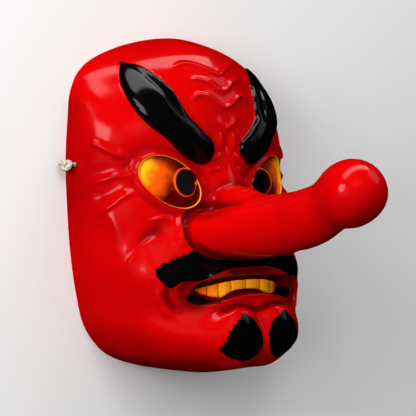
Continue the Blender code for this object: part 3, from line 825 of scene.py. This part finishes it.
def hole_cutters():
    """One bar for the cord, from side to side, and one for each pupil and each gap of the mouth."""
    cord_outline = ring_outline(CORD_HOLE_RADIUS, CORD_HOLE_SIDES)
    pupil_outline = ring_outline(PUPIL_HOLE_RADIUS, PUPIL_HOLE_SIDES)
    cord_place = (0, CORD_HEIGHT, CORD_LIFT)
    cutters = [turned_bar("cord_holes", cord_outline, CORD_CUT_LENGTH, cord_place, (0, math.pi / 2, 0))]
    for side in (-1, 1):
        pupil = (side * PUPIL_SPACING / 2, PUPIL_HEIGHT, PUPIL_HOLE_Z)
        cutters.append(turned_bar("pupil", pupil_outline, CUT_LENGTH, pupil))
        gap = GAP_CENTRE * (side, 1, 1)
        cutters.append(turned_bar("mouth_gap", gap_outline(side), CUT_LENGTH, gap))
    return cutters


def cut_out(shell, cutters):
    for cutter in cutters:
        boolean = shell.modifiers.new(cutter.name, "BOOLEAN")
        boolean.operation = "DIFFERENCE"
        boolean.solver = "EXACT"
        boolean.object = cutter
    apply_modifiers(shell)
    for cutter in cutters:
        bpy.data.objects.remove(cutter)


# Where each paint lies, as how far inside its outline a point is, in millimetres

moustache_top = through(mm((0, -22), (30, -24), (41.8, -29.7), (50.8, -32.3), (58.5, -36), (63, -40)))
moustache_foot = through(mm(
    (0, -40.3), (17.6, -41.2), (30, -44), (42, -47.5), (50, -47.5), (57, -51.5), (63, -44)))
MOUSTACHE_END = 63 * MM
beard_inner = through(mm(
    (-99.5, 15), (-98, 11), (-95, 6), (-91, 3.4), (-85, 2.6), (-79.5, 3.8), (-72, 9.5), (-69, 15)))
beard_outer = through(mm(
    (-99.5, 15), (-98, 20), (-94.5, 28), (-90, 33.5), (-85, 32), (-80, 30), (-75, 27), (-69, 20)))
BEARD_FOOT, BEARD_TOP = -99 * MM, -68 * MM

# Painted hairs: near the beard's outer edge, on the moustache from a little above its foot, and none
# where the nose's wing covers it
HAIRS_REACH = 6 * MM
BEARD_HAIRS = (7 * MM, 3 * MM)
MOUSTACHE_HAIRS = (3 * MM, 6 * MM)
MOUSTACHE_OVER = -60 * MM
HAIRS_FROM_NOSE = (1 * MM, 4 * MM)
# The probe for the painted shade near other parts, how far the eye's and the pupil's paints reach, and the
# sunk depths that the painted shade reads
SHADE_PROBE = 10 * MM
EYE_PAINT_REACH, PUPIL_PAINT_REACH, SUNK_SHADE_RANGE = 2, 30, (-3, 9)


def paints(plain):
    """The paint values of points, by name."""
    x, y, z = plain.T
    along, across_eye = eye_place(plain)
    reach = np.hypot(along, across_eye)
    _, in_brow = brow(plain)
    inside_tooth, _ = in_teeth(plain)
    beside_nose = nose(plain)
    moustache = np.minimum.reduce(
        [moustache_top(x) - y, y - moustache_foot(x), MOUSTACHE_END - x, beside_nose - HAIRS_FROM_NOSE[0]])
    beard = np.minimum.reduce([x - beard_inner(y), beard_outer(y) - x, BEARD_TOP - y, y - BEARD_FOOT])
    beard = np.where(z > LIPS_Z, beard, FAR_OUTSIDE)
    ragged = np.where(beard > -HAIRS_REACH, rise(beard_outer(y) - x, *BEARD_HAIRS), 0)
    ragged = np.maximum(ragged, rise(y - moustache_foot(x), *MOUSTACHE_HAIRS) * (y > MOUSTACHE_OVER))
    ragged *= rise(beside_nose, *HAIRS_FROM_NOSE)
    probe = plain + SHADE_PROBE * outward(plain_form, plain)
    return {
        "brow": in_brow / MM,
        "eye": (1 - reach) * EYE_RADII[1] / MM,
        "eye_along": np.clip(along, -EYE_PAINT_REACH, EYE_PAINT_REACH),
        "eye_across": np.clip(across_eye, -EYE_PAINT_REACH, EYE_PAINT_REACH),
        "pupil": np.minimum(pupil_distance(plain) / MM, PUPIL_PAINT_REACH),
        "teeth": inside_tooth / MM,
        "mouth": mouth_openness(plain),
        "moustache": moustache / MM,
        "beard": beard / MM,
        "ragged": ragged,
        "side": x / MM,
        # The painted shade in the red: how sunk the carving is, and how close another part stands
        "sunk": np.clip(-carving(plain) / MM, *SUNK_SHADE_RANGE),
        "hollow": (SHADE_PROBE - plain_form(probe)) / MM,
    }


def store_paints(thing, points, plain):
    """Gives each vertex the paint values of the nearest point of the half surface."""
    tree = KDTree(len(points))
    for number, point in enumerate(points):
        tree.insert(point, number)
    tree.balance()
    nearest = [tree.find((abs(vertex.co.x), vertex.co.y, vertex.co.z))[1] for vertex in thing.data.vertices]
    for name, values in paints(plain).items():
        attribute = thing.data.attributes.new(name, "FLOAT", "POINT")
        attribute.data.foreach_set("value", values[nearest].astype(np.float32))


# Materials

class Signal:
    """A value in a material, which sums can be written with."""

    def __init__(self, paint, socket):
        self.paint = paint
        self.socket = socket

    def math(self, operation, *values):
        return self.paint.node("ShaderNodeMath", {"operation": operation}, dict(enumerate(values)))

    def __add__(self, other):
        return self.math("ADD", self, other)

    def __radd__(self, other):
        return self.math("ADD", other, self)

    def __sub__(self, other):
        return self.math("SUBTRACT", self, other)

    def __rsub__(self, other):
        return self.math("SUBTRACT", other, self)

    def __mul__(self, other):
        return self.math("MULTIPLY", self, other)

    def __rmul__(self, other):
        return self.math("MULTIPLY", other, self)

    def highest(self, other):
        return self.math("MAXIMUM", self, other)

    def step(self, start, end):
        """0 before start and 1 past end, with a smooth slope between them."""
        settings = {"interpolation_type": "SMOOTHSTEP", "clamp": True}
        return self.paint.node("ShaderNodeMapRange", settings, {0: self, 1: start, 2: end})


class Paint:
    """A material on the Principled shader, with the nodes that its finish needs."""

    def __init__(self, name):
        self.material = bpy.data.materials.new(name)
        self.material.use_nodes = True
        self.tree = self.material.node_tree
        self.shader = self.tree.nodes["Principled BSDF"]

    def node(self, kind, settings=None, sockets=None, output=0):
        """One node: its settings first, then the values or links of its sockets."""
        made = self.tree.nodes.new(kind)
        for name, value in (settings or {}).items():
            setattr(made, name, value)
        for key, value in (sockets or {}).items():
            self.feed(made.inputs[key], value)
        return Signal(self, made.outputs[output])

    def feed(self, socket, value):
        if isinstance(value, Signal):
            self.tree.links.new(value.socket, socket)
        else:
            socket.default_value = value

    def stored(self, name):
        return self.node("ShaderNodeAttribute", {"attribute_name": name}, output="Fac")

    def place(self):
        return self.node("ShaderNodeTexCoord", output="Object")

    def noise(self, scale, detail):
        sockets = {"Scale": scale, "Detail": detail, "Vector": self.place()}
        return self.node("ShaderNodeTexNoise", {}, sockets, "Fac")

    def blend(self, share, first, second):
        """A colour between two, by a share from 0 to 1."""
        return self.node("ShaderNodeMix", {"data_type": "RGBA"}, {0: share, 6: first, 7: second}, 2)

    def bump(self, height, distance, strength):
        return self.node("ShaderNodeBump", {}, {"Strength": strength, "Distance": distance, "Height": height})

    def finish(self, **sockets):
        for name, value in sockets.items():
            self.feed(self.shader.inputs[name.replace("_", " ")], value)
        return self.material


def colour(value):
    return (*value, 1.0)


# Where each painted area starts and where it is full. The clouds and the lips go by shares, the rest
# by millimetres: inside an outline, from the pupil's middle, or how far the red is sunk.
# Painted shade: the red turns deeper where the carving is sunk and where another part stands close
SUNK_SHADE, HOLLOW_SHADE, SHADE_STRENGTH = (0.2, 2.6), (0.5, 5.0), 0.85
CLOUD_SHADE, CLOUD_STRENGTH = (0.35, 0.75), 0.16
EYE_START, EYE_RIM, PUPIL_RIM = (-0.15, 0.0), (0.35, 0.1), (9.7, 9.3)
LIPS_OPEN = (0.3, 0.95)
# The lighter gold along each tooth's edges is a painted highlight
TOOTH_START, TOOTH_EDGE_HIGHLIGHT, TOOTH_EDGE_HIGHLIGHT_STRENGTH = (0.0, 0.4), (0.7, 0.1), 0.55
BROW_START = (-0.3, 0.05)
HAIRS_START, HAIR_LENGTH = (-0.25, 0.25), 7.0
MATT_START, MATT_STRENGTH = (0.0, 0.6), 0.85

# Areas with a streaky edge: how far the streaks shift it, where the area starts and where it is full
ORANGE_OUTWARD = (0.45, -0.15, 0.4)
GOLD_OUTWARD, GOLD_LOW = (0.4, 0.45, 0.85), (0.2, 0.75, 0.1)
# The deep red over the upper part of each eye is painted shade under its lid
LID_SHADE, LID_SHADE_STRENGTH = (0.3, 0.2, 0.72), 0.9
ORANGE_TEETH = (10, 20.0, 34.0)


def lacquer_paint(settings):
    """Red lacquer with black, gold and orange painted areas under one clear gloss."""
    paint = Paint("Red lacquer")
    cloudy = paint.noise(scale=28, detail=3.0)
    streaks = paint.noise(scale=160, detail=4.0) - 0.5

    def streaky(value, shift, start, end):
        return (value + streaks * shift).step(start, end)

    # Red, with painted shade that deepens it where the carving is sunk or close to another part, and a little
    # cloudy
    deep_red = colour(settings.deep_red)
    shaded = paint.stored("sunk").step(*SUNK_SHADE).highest(paint.stored("hollow").step(*HOLLOW_SHADE))
    red = paint.blend(shaded * SHADE_STRENGTH, colour(settings.red), deep_red)
    red = paint.blend(cloudy.step(*CLOUD_SHADE) * CLOUD_STRENGTH, red, deep_red)

    # The eye: gold outside, orange inwards and deep red inside, with a ring round the pupil, and deep red
    # over its upper part as painted shade under the lid
    orange = colour(settings.orange)
    gold = colour(settings.gold)
    eye = paint.stored("eye")
    along = paint.stored("eye_along")
    up = paint.stored("eye_across")
    iris = paint.blend(streaky(along, *ORANGE_OUTWARD), deep_red, orange)
    iris = paint.blend(streaky(along, *GOLD_OUTWARD) * streaky(up, *GOLD_LOW), iris, gold)
    iris = paint.blend(streaky(up, *LID_SHADE) * LID_SHADE_STRENGTH, iris, deep_red)
    iris = paint.blend(paint.stored("pupil").step(*PUPIL_RIM), iris, orange)
    iris = paint.blend(eye.step(*EYE_RIM), iris, gold)
    base = paint.blend(eye.step(*EYE_START), red, iris)

    # Deep red between the lips, and gold teeth that turn orange towards the corner, with a lighter gold
    # painted along their edges as a highlight
    teeth = paint.stored("teeth")
    lips = paint.blend(paint.stored("mouth").step(*LIPS_OPEN), base, deep_red)
    enamel = paint.blend(streaky(paint.stored("side"), *ORANGE_TEETH), colour(settings.tooth_gold), orange)
    enamel = paint.blend(teeth.step(*TOOTH_EDGE_HIGHLIGHT) * TOOTH_EDGE_HIGHLIGHT_STRENGTH, enamel, gold)
    base = paint.blend(teeth.step(*TOOTH_START), lips, enamel)

    # Black brows with clean edges, and moustache and beard that end in short hairs
    hairs = (paint.noise(scale=620, detail=3.0) - 0.5) * paint.stored("ragged") * HAIR_LENGTH
    black_share = paint.stored("brow").step(*BROW_START)
    for name in ("moustache", "beard"):
        black_share = black_share.highest((paint.stored(name) + hairs).step(*HAIRS_START))
    base = paint.blend(black_share, base, colour(settings.black))

    gloss = settings.gloss * (1 - eye.step(*MATT_START) * MATT_STRENGTH)
    orange_peel = paint.noise(scale=420, detail=2.0) * 0.35 + paint.noise(scale=60, detail=2.0)
    return paint.finish(
        Base_Color=base,
        Roughness=0.30 + cloudy * 0.06,
        Normal=paint.bump(orange_peel, distance=0.12 * MM, strength=0.5),
        Specular_IOR_Level=0.0,
        Coat_Weight=gloss,
        Coat_Roughness=0.13,
        Coat_IOR=1.45,
    )


# The duller finishes: where each pattern starts and is full, how strongly it shows, and its colours
GRAIN, GRAIN_DARK, GRAIN_BROWN = (0.3, 0.7), (0.018, 0.012, 0.010), (0.045, 0.030, 0.024)
DUST, DUST_STRENGTH, DUST_BROWN = (0.5, 0.8), 0.4, (0.085, 0.062, 0.050)


def bare_paint():
    """The unpainted inside: dark, matt, with a faint fibrous grain."""
    paint = Paint("Bare inside")
    grain = paint.noise(scale=240, detail=5.0)
    dust = paint.noise(scale=35, detail=3.0).step(*DUST)
    dark = paint.blend(grain.step(*GRAIN), colour(GRAIN_DARK), colour(GRAIN_BROWN))
    return paint.finish(
        Base_Color=paint.blend(dust * DUST_STRENGTH, dark, colour(DUST_BROWN)),
        Roughness=0.75 + grain * 0.2,
        Normal=paint.bump(grain, distance=0.4 * MM, strength=0.6),
    )


# The hole walls' two dark reds, mottled between
WALL_MOTTLE, WALL_RED, WALL_DARK = (0.3, 0.7), (0.035, 0.001, 0.001), (0.012, 0.001, 0.001)


def hole_paint():
    """The walls of the holes: a dark red, darker than outside, and mottled."""
    paint = Paint("Hole wall")
    mottle = paint.noise(scale=300, detail=3.0)
    return paint.finish(
        Base_Color=paint.blend(mottle.step(*WALL_MOTTLE), colour(WALL_RED), colour(WALL_DARK)),
        Roughness=0.35 + mottle * 0.2,
        Normal=paint.bump(mottle, distance=0.2 * MM, strength=0.5),
    )


SOIL, SOIL_STRENGTH, SOIL_COLOUR = (0.4, 0.75), 0.45, (0.50, 0.42, 0.30)
# Painted shade in the grooves between the strands
GROOVE_SHADE, GROOVE_SHADE_STRENGTH, GROOVE_SHADE_COLOUR = (0.2, 1.0), 0.75, (0.20, 0.155, 0.10)
FIBRE, FIBRE_STRENGTH, FIBRE_COLOUR = (0.4, 0.7), 0.25, (0.90, 0.86, 0.76)


def cotton_paint(settings):
    """Matt twisted cotton: a little soiled, with painted shade in the grooves between its strands, and fine
    fibres.
    """
    paint = Paint("Cotton cord")
    fibres = paint.noise(scale=2600, detail=4.0)
    soil = paint.noise(scale=140, detail=3.0).step(*SOIL)
    groove = paint.stored("groove").step(*GROOVE_SHADE)
    cream = paint.blend(soil * SOIL_STRENGTH, colour(settings.cotton), colour(SOIL_COLOUR))
    cream = paint.blend(groove * GROOVE_SHADE_STRENGTH, cream, colour(GROOVE_SHADE_COLOUR))
    cream = paint.blend(fibres.step(*FIBRE) * FIBRE_STRENGTH, cream, colour(FIBRE_COLOUR))
    return paint.finish(
        Base_Color=cream,
        Roughness=0.82 + fibres * 0.12,
        Normal=paint.bump(fibres, distance=0.3 * MM, strength=0.8),
        Specular_IOR_Level=0.2,
        Sheen_Weight=0.3,
        Sheen_Roughness=0.5,
    )


FLOOR_DIMMED = 0.985


def floor_paint(settings):
    paint = Paint("Pale floor")
    dimmed = colour([FLOOR_DIMMED * part for part in settings.floor])
    pale = paint.blend(paint.noise(scale=3.0, detail=2.0), colour(settings.floor), dimmed)
    return paint.finish(Base_Color=pale, Roughness=0.9, Specular_IOR_Level=0.0)


# The cord

CORD_STEPS = 320
KNOT_STEPS = 220
KNOT_RADIUS = 2.35 * MM
KNOT_SWING = 1.15 * MM
KNOT_DEPTH = 1.7 * MM
KNOT_FROM, KNOT_TO = 0.06, 0.94
CORD_SIDES, KNOT_SIDES = 24, 18
STRANDS = 3
STRAND_DEPTH = 0.16
GROOVE_SHARPNESS = 1.5
END_BLUNTNESS = 0.03


def frames_along(path):
    """A direction and two square ones at each point of a path, without sudden turns."""
    ahead = np.gradient(path, axis=0)
    ahead /= np.linalg.norm(ahead, axis=1)[:, None]
    side = np.cross(ahead[0], (0.0, 0.0, 1.0))
    sides = []
    for direction in ahead:
        side = side - (side @ direction) * direction
        side = side / np.linalg.norm(side)
        sides.append(side)
    sides = np.array(sides)
    return ahead, sides, np.cross(ahead, sides)


def twisted_cord(name, path, radius, pitch, around):
    """A cord of twisted strands along a path, with rounded ends."""
    ahead, across_one, across_two = frames_along(path)
    lengths = np.concatenate(([0.0], np.cumsum(np.linalg.norm(np.diff(path, axis=0), axis=1))))
    turns = np.linspace(0, 2 * math.pi, around, endpoint=False)
    work = bmesh.new()
    groove_shades = []
    rings = []
    for number, point in enumerate(path):
        twist = 2 * math.pi * lengths[number] / pitch
        lobes = np.abs(np.sin(STRANDS * (turns - twist) / 2))
        end = min(lengths[number], lengths[-1] - lengths[number]) / radius
        slim = math.sqrt(max(1 - (1 - min(end, 1)) ** 2, END_BLUNTNESS))
        radii = slim * radius * (1 - STRAND_DEPTH * (1 - lobes) ** GROOVE_SHARPNESS)
        round_it = np.cos(turns)[:, None] * across_one[number] + np.sin(turns)[:, None] * across_two[number]
        rings.append([work.verts.new(place) for place in point + radii[:, None] * round_it])
        groove_shades.extend(1 - lobes)
    for one, two in zip(rings, rings[1:]):
        for number in range(around):
            after = (number + 1) % around
            work.faces.new((one[number], one[after], two[after], two[number]))
    work.faces.new(list(reversed(rings[0])))
    work.faces.new(rings[-1])
    thing = finished(name, work)
    # How deep in a groove each point lies, which the cotton's painted shade reads
    attribute = thing.data.attributes.new("groove", "FLOAT", "POINT")
    attribute.data.foreach_set("value", np.array(groove_shades, dtype=np.float32))
    thing.data.shade_smooth()
    return thing


def cord_path():
    half = smooth_line(mm(*CORD_ROUTE), CORD_STEPS)
    return np.vstack((half[::-1] * (-1, 1, 1), half[1:]))


def knot_path(side):
    """A small overhand knot drawn tight: a trefoil that is open between its two ends."""
    turns = np.linspace(KNOT_FROM, KNOT_TO, KNOT_STEPS) * 2 * math.pi
    ring = KNOT_RADIUS + KNOT_SWING * np.cos(3 * turns)
    y, z = ring * np.cos(2 * turns), ring * np.sin(2 * turns)
    x = KNOT_DEPTH * np.sin(3 * turns)
    return np.column_stack((side * (KNOT_X + x), CORD_HEIGHT + y, CORD_LIFT + z))


# Settings and the steps that make each piece

class MaskLacquer(bpy.types.PropertyGroup):
    red: FloatVectorProperty(
        name="Red", description="The lacquer's red", subtype="COLOR", default=(0.56, 0.0005, 0.001)
    )
    # The deep red is also painted shade, in the red's creases and hollows and over the eyes' upper parts
    deep_red: FloatVectorProperty(
        name="Deep red", description="The red in hollows and round the pupils", subtype="COLOR",
        default=(0.10, 0.0, 0.001)
    )
    black: FloatVectorProperty(
        name="Black", description="Brows, moustache and beard", subtype="COLOR",
        default=(0.0012, 0.0012, 0.0012)
    )
    gold: FloatVectorProperty(
        name="Gold", description="Rims of the eyes and their outer corners", subtype="COLOR",
        default=(0.90, 0.44, 0.006)
    )
    tooth_gold: FloatVectorProperty(
        name="Tooth gold", description="The front teeth", subtype="COLOR", default=(0.98, 0.34, 0.006)
    )
    orange: FloatVectorProperty(
        name="Orange", description="Rings round the pupils and the side teeth", subtype="COLOR",
        default=(0.84, 0.09, 0.002)
    )
    gloss: FloatProperty(
        name="Gloss", description="Strength of the clear coat", subtype="FACTOR", default=0.45
    )


class MaskCord(bpy.types.PropertyGroup):
    diameter: FloatProperty(
        name="Diameter", description="The cord's thickness", unit="LENGTH", default=0.0035
    )
    pitch: FloatProperty(name="Twist", description="Length of one full twist", unit="LENGTH", default=0.011)
    cotton: FloatVectorProperty(
        name="Cotton", description="The cotton's cream", subtype="COLOR", default=(0.60, 0.54, 0.43)
    )


class MaskStage(bpy.types.PropertyGroup):
    floor: FloatVectorProperty(
        name="Floor", description="The pale floor", subtype="COLOR", default=(0.94, 0.94, 0.94)
    )
    top_light: FloatProperty(
        name="Top light", description="Power of the soft box past the forehead", unit="POWER", default=15.0
    )
    right_light: FloatProperty(
        name="Right light", description="Power of the soft box on the far side", unit="POWER", default=1.6
    )
    front_light: FloatProperty(
        name="Front light", description="Power of the soft box over the face", unit="POWER", default=6.0
    )
    side_light: FloatProperty(
        name="Side light", description="Power of the soft box on the left", unit="POWER", default=14.0
    )
    glint_light: FloatProperty(
        name="Glint light", description="Power of the small box on the left", unit="POWER", default=5.5
    )
    fill_light: FloatProperty(
        name="Fill light", description="Power of the wide box overhead", unit="POWER", default=21.0
    )


# The camera stands on the viewer's left of the face, 1.1 m from the middle of the rim.
CAMERA_TURN = math.radians(40)
CAMERA_DISTANCE = 1.1
CAMERA_HEIGHT = 26.7 * MM
FRAME_PIXELS = 416
FOCAL_PIXELS = 1600
AIM_RIGHT, AIM_DOWN = 40, 43
SENSOR = 36.0


class MASK_OT_camera(bpy.types.Operator):
    """Stands the camera where the photograph was taken"""

    bl_idname = "mask.camera"
    bl_label = "Camera"

    def execute(self, context):
        right = Vector((math.cos(CAMERA_TURN), 0, math.sin(CAMERA_TURN)))
        forward = Vector((math.sin(CAMERA_TURN), 0, -math.cos(CAMERA_TURN)))
        aim = (FOCAL_PIXELS * forward + AIM_RIGHT * right - AIM_DOWN * Vector((0, 1, 0))).normalized()
        right = aim.cross(Vector((0, 1, 0))).normalized()
        lens = bpy.data.cameras.new("Camera")
        lens.sensor_width = SENSOR
        lens.lens = FOCAL_PIXELS / FRAME_PIXELS * SENSOR
        camera = bpy.data.objects.new("Camera", lens)
        turn = Matrix((right, right.cross(aim), -aim)).transposed().to_4x4()
        turn.translation = -CAMERA_DISTANCE * forward + Vector((0, CAMERA_HEIGHT, 0))
        camera.matrix_world = turn
        context.scene.collection.objects.link(camera)
        context.scene.camera = camera
        return {"FINISHED"}


class MASK_OT_cord(bpy.types.Operator):
    """Makes the slack head cord and the knot at each of its ends"""

    bl_idname = "mask.cord"
    bl_label = "Head cord"

    def execute(self, context):
        settings = context.scene.mask_cord
        cotton = cotton_paint(settings)
        path = cord_path()
        radius = settings.diameter / 2
        cord = twisted_cord("cord", path, radius, settings.pitch, CORD_SIDES)
        knots = []
        for side, name in ((-1, "left"), (1, "right")):
            knot = twisted_cord(f"cord_knot_{name}", knot_path(side), radius, settings.pitch, KNOT_SIDES)
            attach(knot, "root")
            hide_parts(f"knot_{name}")
            knots.append(knot)
        for piece in (cord, *knots):
            piece.data.materials.append(cotton)
        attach(cord, "root")
        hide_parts("head_cord")
        return {"FINISHED"}


class MASK_OT_shell(bpy.types.Operator):
    """Makes the carved and painted shell of the mask"""

    bl_idname = "mask.shell"
    bl_label = "Shell"

    def execute(self, context):
        settings = context.scene.mask_lacquer
        materials = [lacquer_paint(settings), bare_paint(), hole_paint()]
        shell, carved, plain = carved_shell()
        cutters = [hollow_cutter(), *hole_cutters()]
        for thing in (shell, *cutters):
            for material in materials:
                thing.data.materials.append(material)
        cut_out(shell, cutters)
        store_paints(shell, carved, plain)
        shell.data.shade_smooth()
        shell.data.set_sharp_from_angle(angle=SHARP_ANGLE)
        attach(shell, "root")
        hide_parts(*MASK_NODES)
        return {"FINISHED"}


# The soft boxes: place, size, the setting that holds the power, and whether the gloss shows the box
BOXES = {
    "Top box": ((0.0, 1.36, 0.2), (2.2, 0.36), "top_light", True),
    "Right box": ((0.85, 0.83, 0.75), (0.7, 0.7), "right_light", True),
    "Front box": ((-0.55, 0.75, 1.0), (0.7, 0.5), "front_light", False),
    "Side box": ((-1.3, 0.2, 0.55), (0.9, 0.9), "side_light", False),
    "Glint box": ((-1.25, 0.45, 0.32), (0.5, 0.45), "glint_light", True),
    "Fill box": ((0.0, 0.0, 1.9), (5.0, 5.0), "fill_light", False),
}
BOXES_AIM = (0, 0, 0.06)
FLOOR_SIZE = 6


def soft_box(name, place, size, power, in_gloss):
    light = bpy.data.lights.new(name, "AREA")
    light.shape = "RECTANGLE"
    light.size, light.size_y = size
    light.energy = power
    box = bpy.data.objects.new(name, light)
    box.location = place
    box.rotation_euler = (Vector(BOXES_AIM) - Vector(place)).to_track_quat("-Z", "Y").to_euler()
    box.visible_camera = False
    box.visible_glossy = in_gloss
    bpy.context.scene.collection.objects.link(box)


class MASK_OT_stage(bpy.types.Operator):
    """Lays the pale floor and hangs the soft boxes"""

    bl_idname = "mask.stage"
    bl_label = "Floor and lights"

    def execute(self, context):
        settings = context.scene.mask_stage
        work = bmesh.new()
        bmesh.ops.create_grid(work, x_segments=1, y_segments=1, size=FLOOR_SIZE)
        floor = finished("floor", work)
        floor.data.materials.append(floor_paint(settings))
        floor.visible_glossy = False
        floor.visible_diffuse = False
        for name, (place, size, power, in_gloss) in BOXES.items():
            soft_box(name, place, size, getattr(settings, power), in_gloss)
        world = bpy.data.worlds.new("Dark room")
        world.use_nodes = True
        world.node_tree.nodes["Background"].inputs["Strength"].default_value = 0
        context.scene.world = world
        context.scene.view_settings.view_transform = "Standard"
        return {"FINISHED"}


class MASK_PT_panel(bpy.types.Panel):
    """Lists the steps and their settings"""

    bl_label = "Tengu mask"
    bl_idname = "MASK_PT_panel"
    bl_space_type = "VIEW_3D"
    bl_region_type = "UI"
    bl_category = "Mask"

    def draw(self, context):
        for step in STEPS:
            self.layout.operator(step.bl_idname)
        for group in SETTINGS:
            box = self.layout.box()
            for name in SETTINGS[group].__annotations__:
                box.prop(getattr(context.scene, group), name)


STEPS = (MASK_OT_camera, MASK_OT_cord, MASK_OT_shell, MASK_OT_stage)
SETTINGS = {"mask_lacquer": MaskLacquer, "mask_cord": MaskCord, "mask_stage": MaskStage}


def register():
    for kind in (*SETTINGS.values(), *STEPS, MASK_PT_panel):
        bpy.utils.register_class(kind)
    for name, kind in SETTINGS.items():
        setattr(bpy.types.Scene, name, PointerProperty(type=kind))


def unregister():
    for name in SETTINGS:
        delattr(bpy.types.Scene, name)
    for kind in (MASK_PT_panel, *reversed(STEPS), *SETTINGS.values()):
        bpy.utils.unregister_class(kind)


def main():
    register()
    bpy.ops.mask.camera()
    bpy.ops.mask.cord()
    bpy.ops.mask.shell()
    bpy.ops.mask.stage()


if __name__ == "__main__":
    main()
